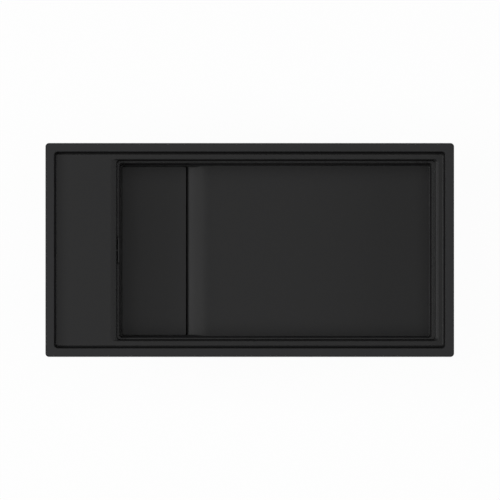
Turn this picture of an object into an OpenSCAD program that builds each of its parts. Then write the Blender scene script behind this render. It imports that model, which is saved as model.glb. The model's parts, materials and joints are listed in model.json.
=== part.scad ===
// Two-tier composite kitchen sink with a hidden drain under a lift-out cover.
// Millimetres, +Z up. The origin is the middle of the worktop opening, at worktop level.
// X runs along the sink, with the deck and the drain at -X. +Y is the back.

/* [Rim] */
// Length of the rim, left to right
sink_l = 860; // [800:5:940]
// Width of the rim, front to back
sink_w = 450; // [430:5:490]
// Radius of the rim's outer corners, seen from above
corner_r = 7.5; // [5:0.5:12]
// Width of the flat land round the opening
rim_land = 19; // [16:0.5:22]
// Thickness of the rim above the worktop
rim_t = 8.5; // [7:0.5:11]
// Rounding of the rim's edges
edge_r = 2; // [1:0.5:2.5]
// Wall thickness of the moulding
wall_t = 9; // [8:0.5:10]
// Thickness of the seal under the rim
seal_t = 1.5; // [1:0.5:3]
// Width of the seal under the rim
seal_w = 5.5; // [4:0.5:6]

/* [Upper tier] */
// Depth of the deck and the upper ledge below the rim
upper_drop = 25; // [22:1:32]
// Length of the deck on the left
deck_l = 124.5; // [110:0.5:150]
// Roll-off of the deck's edge towards the bowl
deck_roll = 13; // [6:1:18]
// Width of the upper ledge at the right
upper_side = 14; // [12:1:20]
// Width of the upper ledge at the front and back
upper_ledge = 10.5; // [9:0.5:14]
// Corner radius of both recesses, seen from above
recess_corner_r = 7; // [5:0.5:10]
// Fillet at the foot of the upper wall
upper_fillet = 4.5; // [3:0.5:5]

/* [Lower tier] */
// Depth of the lower ledge below the deck
lower_drop = 30; // [28:1:40]
// Width of the lower ledge at the left
lower_left = 7; // [7:0.5:14]
// Width of the lower ledge at the right
lower_right = 8.5; // [8:0.5:16]
// Width of the lower ledge at the front and back
lower_ledge = 6.5; // [6.5:0.5:10]
// Rounding of the edge between the tiers
lower_edge_r = 3; // [2:0.5:4]

/* [Bowl] */
// Depth of the bowl's floor below the rim
bowl_depth = 200; // [170:5:240]
// Draft of the bowl's walls in degrees
bowl_draft = 0.75; // [0.5:0.25:1.5]
// Corner radius of the bowl, seen from above
bowl_corner_r = 5; // [4:0.5:12]
// Fillet between the bowl's walls and its floor
bowl_fillet = 2.5; // [2:0.5:5]

/* [Drain channel] */
// Length of the drain channel, left to right
channel_l = 138; // [130:2:160]
// Depth of the drain channel below the floor
channel_drop = 32; // [30:1:40]
// Length of the sloping edge beside the channel
fall_l = 50; // [30:2:70]
// Drop of the sloping edge
fall_drop = 9; // [4:1:14]
// Thickness of the drain cover
cover_t = 10; // [8:0.5:12]
// Water gap between the cover and the sloping edge
cover_gap = 1.8; // [1.6:0.2:5]
// Clearance round the cover's other sides
cover_clear = 0.5; // [0.3:0.1:1]
// Rounding of the cover's top edge
cover_edge_r = 1.2; // [0.6:0.2:2]
// Thickness of the cover's rubber feet
foot_t = 2; // [1:0.5:3]
// Radius of the cover's legs
leg_r = 8; // [6:0.5:10]

/* [Waste] */
// Radius of the waste hole in the channel's floor
waste_hole_r = 45; // [44:0.5:46]
// Radius of the steel flange
flange_r = 56; // [54:0.5:58]
// Sheet thickness of the steel flange and its cup
flange_t = 1.2; // [0.8:0.1:1.5]
// Inner radius of the strainer cup
cup_r = 41; // [39:0.5:42]
// Depth of the strainer cup below the channel's floor
cup_depth = 38; // [34:1:44]
// Height of the strainer's conical seat above the cup's floor
seat_h = 15; // [13:0.5:18]
// Length of the waste body below the cup
body_l = 18; // [16:1:30]
// Travel of the strainer between closed and open
strainer_travel = 8; // [5:0.5:8]
// Radius of the threaded outlet
outlet_r = 23.9; // [20:0.1:24]
// Length of the threaded outlet
outlet_l = 26; // [22:1:40]
// Thickness of the rubber rings of the waste
ring_t = 2; // [1:0.5:3]
// Radius of the holes in the strainer's floor
hole_r = 1.9; // [1.2:0.1:2.2]
// Distance between two rings of holes
hole_step = 6.5; // [6:0.25:7]
// Width of the slots in the strainer's wall
basket_slot_w = 2.5; // [1.5:0.25:4]
// Height of the slots in the strainer's wall
basket_slot_h = 8; // [5:0.5:9]

/* [Overflow] */
// Width of the overflow cover
overflow_w = 56; // [46:1:62]
// Height of the overflow cover
overflow_h = 18; // [14:1:18]
// Thickness of the overflow cover
overflow_t = 3.2; // [2:0.2:4]
// Water gap behind the overflow cover
overflow_gap = 2; // [1:0.5:3]
// Distance from the wall to the overflow's downpipe
overflow_reach = 49; // [46:1:60]

/* [Overflow hose] */
// Outer radius of the hose's ribs
hose_r = 9; // [8:0.25:9.5]
// Radius of the hose between its ribs
hose_root_r = 7.6; // [7.25:0.25:8]
// Radius of the hose's bore
hose_bore_r = 6.6; // [5.5:0.1:6.8]
// Radius of the hose's bend along its middle
hose_bend_r = 66; // [60:1:72]
// Distance between two ribs
rib_pitch = 4; // [3:0.5:6]

/* [Clamps] */
// Distance of the outer clamps from the rim's ends
clamp_end = 130; // [110:5:190]
// Length of a clamp's arm from its screw
clamp_arm = 38; // [32:1:44]
// Width of a clamp's arm
clamp_w = 13; // [10:0.5:14]
// Sheet thickness of a clamp
clamp_t = 2.5; // [2:0.1:3]
// Radius of a clamp's screw
clamp_screw_r = 2.5; // [2:0.1:3]
// Radial clearance of a clamp on its screw
clamp_clear = 0.08; // [0.04:0.01:0.1]
// Thickest worktop that the clamps reach
worktop_t = 40; // [30:1:50]

/* [Hidden] */
$fn = 64;

// Smoothness of the moulding's corners and roundings, in steps to a quarter turn
corner_steps = 6;
round_steps = 5;

// Drafts of the two recesses' walls in degrees
upper_draft = 4.5;
lower_draft = 1.5;
lower_fillet = 1.5;

// Levels
rim_under = seal_t;
rim_top = rim_under + rim_t;
deck_z = rim_top - upper_drop;
ledge_z = deck_z - lower_drop;
floor_z = rim_top - bowl_depth;
channel_z = floor_z - channel_drop;
channel_under = channel_z - wall_t;

// Roundings of the moulding's outside
rim_foot_r = 1;
skin_r = 6;
lower_skin_r = 4;

// A wall that goes down from a rounded edge to a fillet, as [inset, level, share of the edge done].
// The inset counts from where the rounding starts.
function wall_run(top, foot, edge, fillet, draft) =
    (top - foot - edge + edge * sin(draft) - fillet + fillet * sin(draft)) * tan(draft);
function wall_inset(top, foot, edge, fillet, draft) =
    (edge + fillet) * cos(draft) + wall_run(top, foot, edge, fillet, draft);
function wall_steps(top, foot, edge, fillet, draft) = concat(
    [for (i = [0:round_steps])
        let (a = i * (90 - draft) / round_steps)
        [edge * sin(a), top - edge + edge * cos(a), sin(a) / cos(draft)]],
    [for (i = [0:round_steps])
        let (a = draft + i * (90 - draft) / round_steps)
        [wall_inset(top, foot, edge, fillet, draft) - fillet * cos(a),
         foot + fillet - fillet * sin(a), 1]]
);

// The outside of such a wall, with its foot rounded
function skin_steps(top, foot, round, draft) = concat(
    [[0, top, 1]],
    [for (i = [0:round_steps])
        let (a = draft + i * (90 - draft) / round_steps)
        [(top - foot - round) * tan(draft) + round - round * cos(a), foot + round - round * sin(a), 1]]
);

// A rectangle with round corners at one level, from x0 to x1 and from -y to y
function ring(x0, x1, y, r, z) = [
    for (corner = [[x1 - r, y - r, 0], [x0 + r, y - r, 90], [x0 + r, r - y, 180], [x1 - r, r - y, 270]],
         i = [0:corner_steps])
        let (a = corner[2] + i * 90 / corner_steps)
        [corner[0] + r * cos(a), corner[1] + r * sin(a), z]
];

// Rings of a box [x0, x1, y, corner radius] that follow a wall's steps.
// left_roll widens the rounding of the left edge. The corners keep at least the radius least_r.
function wall_rings(box, steps, least_r, left_roll = 0) = [
    for (s = steps)
        ring(box[0] + s[0] + left_roll * s[2], box[1] - s[0], box[2] - s[0],
             max(least_r, box[3] - s[0]), s[1])
];

// Closed solid through rings that go downwards
module loft(rings) {
    n = len(rings[0]);
    last = len(rings) - 1;
    points = [for (r = rings, p = r) p];
    top = [for (i = [n - 1:-1:0]) i];
    foot = [for (i = [0:n - 1]) last * n + i];
    sides = [for (k = [0:last - 1], i = [0:n - 1])
        [k * n + i, k * n + (i + 1) % n, (k + 1) * n + (i + 1) % n, (k + 1) * n + i]];
    polyhedron(points = points, faces = concat([top, foot], sides), convexity = 10);
}

function grown(box, by) = [box[0] - by, box[1] + by, box[2] + by, box[3] + by];

// Wall planes, as boxes [x0, x1, y, corner radius] at the height of each opening
outline = [-sink_l / 2, sink_l / 2, sink_w / 2, corner_r];
upper_box = [-sink_l / 2 + rim_land, sink_l / 2 - rim_land, sink_w / 2 - rim_land, recess_corner_r];
upper_foot = wall_inset(rim_top, deck_z, edge_r, upper_fillet, upper_draft) - edge_r;
lower_box = [upper_box[0] + upper_foot + deck_l, upper_box[1] - upper_foot - upper_side,
             upper_box[2] - upper_foot - upper_ledge, recess_corner_r];
bowl_box = [lower_box[0] + lower_left, lower_box[1] - lower_right, lower_box[2] - lower_ledge,
            bowl_corner_r];
floor_inset = wall_inset(ledge_z, floor_z, edge_r, bowl_fillet, bowl_draft) - edge_r;

// The drain channel lies inside the floor's edge
channel_sill = 0.3;
channel_x0 = bowl_box[0] + floor_inset + channel_sill;
channel_x1 = channel_x0 + channel_l;
channel_y = bowl_box[2] - floor_inset - channel_sill;
channel_fillet = 4;
channel_skin = 0.6;
drain_x = (channel_x0 + channel_x1) / 2;
fall_r = (fall_l * fall_l + fall_drop * fall_drop) / (2 * fall_drop);

// Drain cover
cover_x0 = channel_x0 + cover_clear;
cover_x1 = channel_x1 - cover_gap;
cover_y = channel_y - cover_clear;
cover_under = floor_z - cover_t;
leg_inset = leg_r + 5;
foot_plug_r = 3;
foot_plug_l = 5;
rib_h = 5;
rib_w = 4;

// Waste
flange_seal_t = 1.5;
flange_z = channel_z + flange_seal_t;
cup_z = channel_z - cup_depth;
seat_drop = 8;
seat_r = cup_r - seat_drop;
seat_top = cup_z + seat_h;
seat_foot = seat_top - seat_drop;
body_top = channel_under - ring_t;
body_r = waste_hole_r + 2;
body_t = 3;
body_lip_r = flange_r - 2;
body_taper = 12;
body_foot = cup_z - body_l;
outlet_top = body_foot - body_taper;
outlet_foot = outlet_top - outlet_l;
outlet_t = 3.4;
screw_r = 5;
screw_bore_r = 3.08;
stem_r = 3;
hub_r = 10;
hub_l = 18;
hub_foot = cup_z - hub_l;

// Strainer
basket_r = cup_r - 0.5;
basket_t = 0.8;
basket_z = seat_top + 1;
basket_lip_z = channel_z - 1;
basket_slots = 18;
basket_slot_z = basket_lip_z - 4 - basket_slot_h;
hole_in = 5;
knob_r = 9;
knob_z = cover_under - strainer_travel - 3;

// Overflow. The plumbing parts share one thread size.
overflow_lift = 2.2;
overflow_z = ledge_z + overflow_lift + overflow_h / 2;
slot_w = overflow_w - 12;
slot_h = overflow_h - 7;
wall_face = lower_box[0];
wall_lean = (deck_z - lower_edge_r - overflow_z + 2) * tan(lower_draft);
wall_back = wall_face - wall_t;
gasket_t = 2;
housing_x = wall_back - gasket_t;
downpipe_x = wall_back - overflow_reach;
housing_h = 22;
housing_z = deck_z - wall_t - 0.5 - housing_h / 2;
spigot_r = 9.5;
spigot_bore_r = 6.8;
spigot_l = 18;
spigot_foot = housing_z - housing_h / 2 - spigot_l;
port_l = 15;
port_z = cup_z - 2;
port_x = drain_x - body_r - port_l;
cuff_l = 14;
nut_r = 13.5;
nut_l = 17;

// Clamps, as [x, y, angle of the arm at rest]
clamp_out = 8.5;
clamp_spread = sink_l / 2 - clamp_end;
clamp_x = lower_box[1] + wall_t + clamp_out;
clamp_y = lower_box[2] + wall_t + clamp_out;
boss_r = 7;
boss_h = 18;
insert_r = 4;
insert_l = 12;
boss_foot = deck_z - wall_t - boss_h;
clamp_z = min(boss_foot - 8, -worktop_t - 10);
clamp_toe = 10;
clamps = concat(
    [for (x = [-clamp_spread, 0, clamp_spread]) [x, clamp_y, 0]],
    [for (x = [-clamp_spread, 0, clamp_spread]) [x, -clamp_y, 180]],
    [[-clamp_x, 0, 90], [clamp_x, 0, -90]]
);

composite = [0.13, 0.13, 0.135];
rubber = [0.08, 0.08, 0.08];
steel = [0.72, 0.73, 0.75];
plastic = [0.2, 0.2, 0.21];
brass = [0.78, 0.62, 0.3];
zinc = [0.62, 0.64, 0.66];

// The outside of the moulding: rim, upper recess, lower recess and bowl, one below the other
module bowl_outside() {
    upper_skin = grown(upper_box, wall_t);
    lower_skin = grown(lower_box, wall_t);
    bowl_skin = grown(bowl_box, wall_t);
    rim_rings = concat(
        [for (i = [0:round_steps])
            let (a = i * 90 / round_steps)
            [edge_r - edge_r * sin(a), rim_top - edge_r + edge_r * cos(a), 1]],
        [[0, rim_under + rim_foot_r, 1], [rim_foot_r, rim_under, 1]]
    );
    loft(concat(
        wall_rings(outline, rim_rings, 1),
        wall_rings(upper_skin, skin_steps(rim_under, deck_z - wall_t, skin_r, upper_draft), 2),
        wall_rings(lower_skin, skin_steps(deck_z - wall_t, ledge_z - wall_t, lower_skin_r, lower_draft), 2),
        wall_rings(bowl_skin, skin_steps(ledge_z - wall_t, floor_z - wall_t, skin_r, bowl_draft), 2)
    ));
}

// The hollow of the moulding, from above the rim to the bowl's floor
module bowl_inside() {
    above = grown(upper_box, edge_r);
    roll = deck_roll - lower_edge_r;
    upper_wall = wall_steps(rim_top, deck_z, edge_r, upper_fillet, upper_draft);
    lower_wall = wall_steps(deck_z, ledge_z, lower_edge_r, lower_fillet, lower_draft);
    bowl_wall = wall_steps(ledge_z, floor_z, edge_r, bowl_fillet, bowl_draft);
    loft(concat(
        [ring(above[0], above[1], above[2], above[3], rim_top + 5)],
        wall_rings(above, upper_wall, recess_corner_r - 2),
        wall_rings(grown(lower_box, lower_edge_r) - [roll, 0, 0, 0], lower_wall,
                   recess_corner_r - 2, roll),
        wall_rings(grown(bowl_box, edge_r), bowl_wall, bowl_corner_r - 1)
    ));
}

// The outside of the drain channel, which hangs below the bowl's floor
module channel_outside() {
    box = [channel_x0 - wall_t + channel_skin, channel_x1 + wall_t, channel_y + wall_t - channel_skin,
           bowl_corner_r + wall_t];
    loft(wall_rings(box, skin_steps(floor_z - 1, channel_under, skin_r, 0.5), 2));
}

module channel_inside() {
    box = [channel_x0, channel_x1, channel_y, bowl_corner_r];
    steps = concat([[0, floor_z + 0.5, 1]],
        [for (i = [0:round_steps])
            let (a = i * 90 / round_steps)
            [channel_fillet - channel_fillet * cos(a), channel_z + channel_fillet - channel_fillet * sin(a), 1]]);
    loft(wall_rings(box, steps, 1));
}

// The space above the sloping edge: its surface is part of one large cylinder
module fall_space() {
    top = 0.5;
    translate([0, channel_y, 0])
        rotate([90, 0, 0])
            linear_extrude(2 * channel_y)
                difference() {
                    translate([channel_x1 - bowl_corner_r - 1, floor_z - fall_drop - 3])
                        square([fall_l + bowl_corner_r + 1, fall_drop + 3 + top]);
                    translate([channel_x1 + fall_l, floor_z - fall_r])
                        circle(fall_r, $fn = 360);
                    translate([channel_x1, floor_z - fall_drop - 4])
                        square([fall_l, 4]);
                    translate([channel_x1 + fall_l, floor_z - fall_drop - 4])
                        square([1, fall_drop + 4 + 2 * top]);
                }
}

// A slot with round ends along X, through the wall between the tiers
module overflow_slot() {
    for (y = [-1, 1])
        translate([wall_back - 5, y * (slot_w - slot_h) / 2, overflow_z])
            rotate([0, 90, 0])
                cylinder(r = slot_h / 2, h = wall_t + 10);
    translate([wall_back - 5, -(slot_w - slot_h) / 2, overflow_z - slot_h / 2])
        cube([wall_t + 10, slot_w - slot_h, slot_h]);
}

module at_clamps() {
    for (c = clamps)
        translate([c[0], c[1], 0])
            rotate(c[2])
                children();
}

module sink_bowl() {
    color(composite)
        difference() {
            union() {
                bowl_outside();
                channel_outside();
                at_clamps()
                    translate([0, 0, boss_foot])
                        cylinder(r = boss_r, h = boss_h + wall_t / 2);
            }
            bowl_inside();
            channel_inside();
            fall_space();
            translate([drain_x, 0, channel_under - 1])
                cylinder(r = waste_hole_r, h = wall_t + 2);
            overflow_slot();
            at_clamps()
                translate([0, 0, boss_foot - 1])
                    cylinder(r = insert_r, h = insert_l + 1);
        }
}

// A flat ring that follows the rim, between two insets from its outline
module rim_band(inset_a, inset_b, z, h) {
    translate([0, 0, z])
        linear_extrude(h)
            difference() {
                round_rect(outline, inset_a);
                round_rect(outline, inset_b);
            }
}

module round_rect(box, inset) {
    r = max(1, box[3] - inset);
    x = box[1] - inset;
    y = box[2] - inset;
    square([2 * x, 2 * (y - r)], center = true);
    square([2 * (x - r), 2 * y], center = true);
    for (sx = [-1, 1], sy = [-1, 1])
        translate([sx * (x - r), sy * (y - r)])
            circle(r);
}

module rim_seal() {
    color(rubber)
        rim_band(rim_foot_r + 1, rim_foot_r + 1 + seal_w, 0, seal_t);
}

// Ring turned about the drain's axis, from radius inner to outer
module drain_ring(inner, outer, z, h) {
    translate([drain_x, 0, z])
        difference() {
            cylinder(r = outer, h = h);
            translate([0, 0, -1])
                cylinder(r = inner, h = h + 2);
        }
}

module at_legs() {
    for (x = [cover_x0 + leg_inset, cover_x1 - leg_inset], y = [-1, 1])
        translate([x, y * (cover_y - leg_inset), 0])
            children();
}

module drain_cover() {
    box = [cover_x0, cover_x1, cover_y, bowl_corner_r - cover_clear];
    steps = concat(
        [for (i = [0:round_steps])
            let (a = i * 90 / round_steps)
            [cover_edge_r - cover_edge_r * sin(a), floor_z - cover_edge_r + cover_edge_r * cos(a), 1]],
        [[0, cover_under + 1, 1], [1, cover_under, 1]]
    );
    color(composite)
        difference() {
            union() {
                loft(wall_rings(box, steps, 1));
                at_legs()
                    translate([0, 0, channel_z + foot_t])
                        cylinder(r = leg_r, h = cover_under - channel_z - foot_t + 1);
                for (y = [-1, 1], part = [0.3, 0.62])
                    translate([cover_x0 + leg_inset, y * part * cover_y - rib_w / 2, cover_under - rib_h])
                        cube([cover_x1 - cover_x0 - 2 * leg_inset, rib_w, rib_h + 1]);
            }
            at_legs()
                translate([0, 0, channel_z + foot_t - 1])
                    cylinder(r = foot_plug_r, h = foot_plug_l + 1);
        }
}

// Each foot is a disc with a plug that sits in its leg
module cover_feet() {
    color(rubber)
        at_legs() {
            translate([0, 0, channel_z])
                cylinder(r = leg_r - 1, h = foot_t);
            translate([0, 0, channel_z + foot_t - 0.5])
                cylinder(r = foot_plug_r, h = foot_plug_l + 0.5);
        }
}

// Pressed from sheet: flange, cup, conical seat and a slotted floor
module waste_flange() {
    t = flange_t;
    color(steel)
        translate([drain_x, 0, 0])
            difference() {
                rotate_extrude()
                    polygon([
                        [flange_r, flange_z], [flange_r, flange_z + t / 2], [flange_r - 1, flange_z + t],
                        [cup_r + 3, flange_z + t], [cup_r, flange_z - 1.5], [cup_r, seat_top],
                        [seat_r, seat_foot], [seat_r, cup_z + t], [screw_r + 0.3, cup_z + t],
                        [screw_r + 0.3, cup_z], [seat_r + t, cup_z], [seat_r + t, seat_foot - t / 2],
                        [cup_r + t, seat_top - t / 2], [cup_r + t, flange_z - 1.5 - t / 2],
                        [cup_r + 4, flange_z]
                    ]);
                for (i = [0:7])
                    rotate(i * 360 / 8)
                        translate([seat_r * 0.64, 0, cup_z - 1])
                            cylinder(r = seat_r * 0.18, h = t + 2);
            }
}

module flange_seal() {
    color(rubber)
        drain_ring(waste_hole_r + 1, flange_r - 1.5, channel_z, flange_seal_t);
}

module body_gasket() {
    color(rubber)
        drain_ring(waste_hole_r + 0.5, body_lip_r, body_top, ring_t);
}

// Moulded plastic body with a central hub on four webs, an overflow port and a threaded outlet
module waste_body() {
    outlet_bore_r = outlet_r - outlet_t;
    color(plastic)
        difference() {
            union() {
                translate([drain_x, 0, 0])
                    rotate_extrude()
                        polygon([
                            [body_r - body_t, body_top], [body_lip_r, body_top], [body_lip_r, body_top - 3],
                            [body_r, body_top - 5], [body_r, body_foot],
                            [outlet_r + 3, outlet_top], [outlet_r, outlet_top - 1], [outlet_r, outlet_foot],
                            [outlet_bore_r, outlet_foot], [outlet_bore_r, outlet_top],
                            [body_r - body_t, body_foot]
                        ]);
                translate([port_x, 0, port_z])
                    rotate([0, 90, 0])
                        cylinder(r = spigot_r, h = drain_x - body_r + 1.5 - port_x);
                translate([drain_x, 0, hub_foot])
                    cylinder(r = hub_r, h = cup_z - hub_foot);
                for (a = [45:90:315])
                    translate([drain_x, 0, hub_foot])
                        rotate(a)
                            translate([hub_r - 1, -1.5, 0])
                                cube([body_r - body_t - hub_r + 2, 3, cup_z - hub_foot - 8]);
            }
            translate([port_x - 1, 0, port_z])
                rotate([0, 90, 0])
                    cylinder(r = spigot_bore_r, h = drain_x - body_r + body_t + 1 - port_x);
            translate([drain_x, 0, hub_foot - 1])
                cylinder(r = screw_r + 2, h = cup_z - hub_foot + 2);
        }
}

// Brass thread in the hub
module body_insert() {
    color(brass)
        drain_ring(screw_r, screw_r + 2, hub_foot, cup_z - hub_foot - 0.5);
}

// Hollow screw that clamps the flange to the body and guides the strainer's stem
module centre_screw() {
    color(steel)
        translate([drain_x, 0, 0])
            difference() {
                union() {
                    translate([0, 0, hub_foot + 1])
                        cylinder(r = screw_r, h = cup_z + flange_t - hub_foot - 1);
                    translate([0, 0, cup_z + flange_t])
                        cylinder(r = screw_r + 4, h = 2.6);
                }
                translate([0, 0, hub_foot + 3])
                    cylinder(r = screw_bore_r, h = cup_z - hub_foot + 10);
            }
}

// Perforated cup with a rolled lip
module strainer_basket() {
    t = basket_t;
    floor_r = seat_r - 4;
    lip_z = basket_lip_z;
    color(steel)
        translate([drain_x, 0, 0])
            difference() {
                rotate_extrude()
                    polygon([
                        [0, basket_z], [floor_r, basket_z], [basket_r - 3, basket_z + 5],
                        [basket_r - 2, lip_z - t], [basket_r, lip_z - t / 2], [basket_r, lip_z + t / 2],
                        [basket_r - 1, lip_z + t], [basket_r - 3, lip_z], [basket_r - 3 - t, basket_z + 5.6],
                        [floor_r - 0.4, basket_z + t], [0, basket_z + t]
                    ]);
                for (turn = [1:3], i = [0:6 * turn - 1])
                    rotate(i * 60 / turn)
                        translate([hole_in + hole_step * turn, 0, basket_z - 1])
                            cylinder(r = hole_r, h = t + 2);
                for (i = [0:basket_slots - 1])
                    rotate(i * 360 / basket_slots)
                        translate([basket_r - 6, -basket_slot_w / 2, basket_slot_z])
                            cube([6.5, basket_slot_w, basket_slot_h]);
                translate([0, 0, basket_z - 1])
                    cylinder(r = stem_r, h = t + 2);
            }
}

// Rubber ring under the basket. Its bevel closes on the cup's conical seat.
module basket_seal() {
    slope = (cup_r - seat_r) / (seat_top - seat_foot);
    foot = basket_z - 3.2;
    outer = seat_r + (foot - seat_foot) * slope - 0.4;
    color(rubber)
        translate([drain_x, 0, 0])
            rotate_extrude()
                polygon([
                    [seat_r - 6, basket_z], [seat_r - 6, foot], [outer, foot],
                    [outer + 1.4 * slope, foot + 1.4], [outer - 1, basket_z]
                ]);
}

// Knob, stem and the collar that carries the basket, turned from one bar
module strainer_knob() {
    stem_foot = cup_z - 14;
    top = basket_z + basket_t;
    color(steel)
        translate([drain_x, 0, 0]) {
            rotate_extrude()
                polygon([
                    [0, stem_foot], [stem_r - 0.5, stem_foot], [stem_r, stem_foot + 1], [stem_r, top],
                    [stem_r + 3, top], [stem_r + 3, top + 2], [stem_r, top + 3], [stem_r, knob_z - 9],
                    [knob_r - 2, knob_z - 4], [knob_r, knob_z - 3], [knob_r, knob_z - 1],
                    [knob_r - 1, knob_z], [0, knob_z]
                ]);
        }
}

// Rounded plate with the long way along Y, lying against a plane of X
module upright_plate(x, w, h, t, r, z) {
    translate([x, 0, z])
        rotate([90, 0, 90])
            linear_extrude(t) {
                square([w, h - 2 * r], center = true);
                square([w - 2 * r, h], center = true);
                for (sy = [-1, 1], sz = [-1, 1])
                    translate([sy * (w / 2 - r), sz * (h / 2 - r)])
                        circle(r);
            }
}

// Cover plate on two spacers, with a countersunk hole for its screw
module overflow_cover() {
    face = wall_face + 1 + overflow_gap;
    color(composite)
        difference() {
            union() {
                upright_plate(face, overflow_w, overflow_h, overflow_t, 2.5, overflow_z);
                for (y = [-1, 1])
                    upright_pad(y * (slot_w / 2 + 2.5), face);
            }
            translate([face - 1, 0, overflow_z])
                rotate([0, 90, 0])
                    cylinder(r = 2.6, h = overflow_t + 2);
            translate([face + overflow_t - 1.8, 0, overflow_z])
                rotate([0, 90, 0])
                    cylinder(r1 = 2.6, r2 = 4.4, h = 1.81);
        }
}

// Spacer between the overflow cover and the wall
module upright_pad(y, face) {
    foot = wall_face + wall_lean;
    translate([foot, y, overflow_z])
        rotate([0, 90, 0])
            cylinder(r = 2, h = face - foot + 0.5);
}

// Countersunk screw from the cover into the housing's bridge
module overflow_screw() {
    face = wall_face + 1 + overflow_gap;
    foot = housing_x - 6;
    color(zinc)
        translate([0, 0, overflow_z])
            rotate([0, 90, 0]) {
                translate([0, 0, foot])
                    cylinder(r = 2.5, h = face + overflow_t - 1.8 - foot);
                translate([0, 0, face + overflow_t - 1.8])
                    cylinder(r1 = 2.5, r2 = 4.2, h = 1.7);
            }
}

module overflow_gasket() {
    color(rubber)
        difference() {
            upright_plate(housing_x, overflow_w + 8, housing_h, gasket_t, 3, housing_z);
            upright_plate(housing_x - 1, slot_w + 4, housing_h - 7, gasket_t + 2, 3, housing_z);
        }
}

// Funnel that gathers the slot's water into a round downpipe, with a bridge for the cover's screw
module overflow_housing() {
    shell = 2.5;
    spigot_top = housing_z - housing_h / 2 + 2;
    color(plastic)
        difference() {
            union() {
                upright_plate(housing_x - 3, overflow_w + 8, housing_h, 3, 3, housing_z);
                hull() {
                    upright_plate(housing_x - 3, slot_w + 6, housing_h, 1, 3, housing_z, $fn = 32);
                    translate([downpipe_x, 0, housing_z - housing_h / 2])
                        cylinder(r = spigot_r + 2, h = housing_h, $fn = 32);
                }
                translate([downpipe_x, 0, spigot_foot])
                    cylinder(r = spigot_r, h = spigot_top - spigot_foot);
            }
            hull() {
                upright_plate(housing_x - 5, slot_w, housing_h - 2 * shell, 9, 2, housing_z, $fn = 32);
                translate([downpipe_x, 0, housing_z - housing_h / 2 + shell])
                    cylinder(r = spigot_r - 1, h = housing_h - 2 * shell, $fn = 32);
            }
            translate([downpipe_x, 0, spigot_foot - 1])
                cylinder(r = spigot_bore_r, h = housing_h);
        }
    screw_bridge();
}

// Bar across the funnel's mouth, with the hole that the cover's screw goes into
module screw_bridge() {
    color(plastic)
        difference() {
            translate([housing_x - 9, -5, housing_z - housing_h / 2 + 1])
                cube([8, 10, housing_h - 2]);
            translate([housing_x - 10, 0, overflow_z])
                rotate([0, 90, 0])
                    cylinder(r = 2.5, h = 12);
        }
}

// Middle line of the hose: down from the housing, round a quarter turn and along to the port.
// Each step is [place along X, level, angle turned].
hose_top = spigot_foot;
hose_start_x = downpipe_x;
bend_z = port_z + hose_bend_r;
drop_l = hose_top - bend_z;
turn_l = hose_bend_r * PI / 2;
run_l = port_x - (hose_start_x + hose_bend_r);
hose_l = drop_l + turn_l + run_l;
function hose_at(s) =
    s < drop_l ? [hose_start_x, hose_top - s, 0]
    : s < drop_l + turn_l
        ? let (a = (s - drop_l) / hose_bend_r * 180 / PI)
          [hose_start_x + hose_bend_r * (1 - cos(a)), bend_z - hose_bend_r * sin(a), a]
        : [hose_start_x + hose_bend_r + s - drop_l - turn_l, port_z, 90];
hose_sides = 8;
function hose_ring(s, r) =
    let (p = hose_at(s))
    [for (i = [0:hose_sides - 1])
        let (a = i * 360 / hose_sides, out = r * cos(a))
        [p[0] + out * cos(p[2]), r * sin(a), p[1] + out * sin(p[2])]];

// One skin out along the ribs and back through the bore
module overflow_hose() {
    ribs = floor((hose_l - 2 * cuff_l) / rib_pitch);
    first = (hose_l - ribs * rib_pitch) / 2;
    bore_steps = 30;
    rings = concat(
        [hose_ring(0, hose_root_r), hose_ring(first, hose_root_r)],
        [for (k = [0:ribs - 1], side = [0, 1])
            hose_ring(first + (k + 0.3 + 0.4 * side) * rib_pitch, side == 0 ? hose_r : hose_root_r)],
        [hose_ring(hose_l - first, hose_root_r), hose_ring(hose_l, hose_root_r)],
        [for (k = [bore_steps:-1:0]) hose_ring(k * hose_l / bore_steps, hose_bore_r)]
    );
    n = hose_sides;
    count = len(rings);
    color(plastic)
        polyhedron(
            points = [for (r = rings, p = r) p],
            faces = [for (k = [0:count - 1], i = [0:n - 1], half = [0, 1])
                let (a = k * n + i, b = k * n + (i + 1) % n,
                     c = ((k + 1) % count) * n + (i + 1) % n, d = ((k + 1) % count) * n + i)
                half == 0 ? [a, c, b] : [a, d, c]],
            convexity = 10
        );
}

// Places a part at both ends of the hose, with its own +Z pointing into the hose
module at_hose_ends() {
    translate([downpipe_x, 0, spigot_foot])
        rotate([180, 0, 0])
            children();
    translate([port_x, 0, port_z])
        rotate([0, -90, 0])
            children();
}

// Union nuts over the spigot and the hose's cuff
module hose_nuts() {
    color(plastic)
        at_hose_ends()
            difference() {
                union() {
                    translate([0, 0, 5 - nut_l])
                        cylinder(r = nut_r, h = nut_l);
                    for (i = [0:11])
                        rotate(i * 30)
                            translate([nut_r - 0.6, -1, 6 - nut_l])
                                cube([1.8, 2, nut_l - 2]);
                }
                translate([0, 0, 4 - nut_l])
                    cylinder(r = spigot_r, h = nut_l - 2);
                translate([0, 0, 1])
                    cylinder(r = hose_root_r + 0.3, h = 6);
            }
}

// Sealing rings between the hose's cuff and the nut
module hose_seals() {
    color(rubber)
        at_hose_ends()
            difference() {
                cylinder(r = spigot_r - 0.1, h = 2);
                translate([0, 0, -1])
                    cylinder(r = hose_root_r + 0.1, h = 4);
            }
}

module clamp_inserts() {
    color(brass)
        at_clamps()
            translate([0, 0, boss_foot])
                difference() {
                    cylinder(r = insert_r, h = insert_l - 1);
                    translate([0, 0, -1])
                        cylinder(r = clamp_screw_r, h = insert_l + 1);
                }
}

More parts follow.
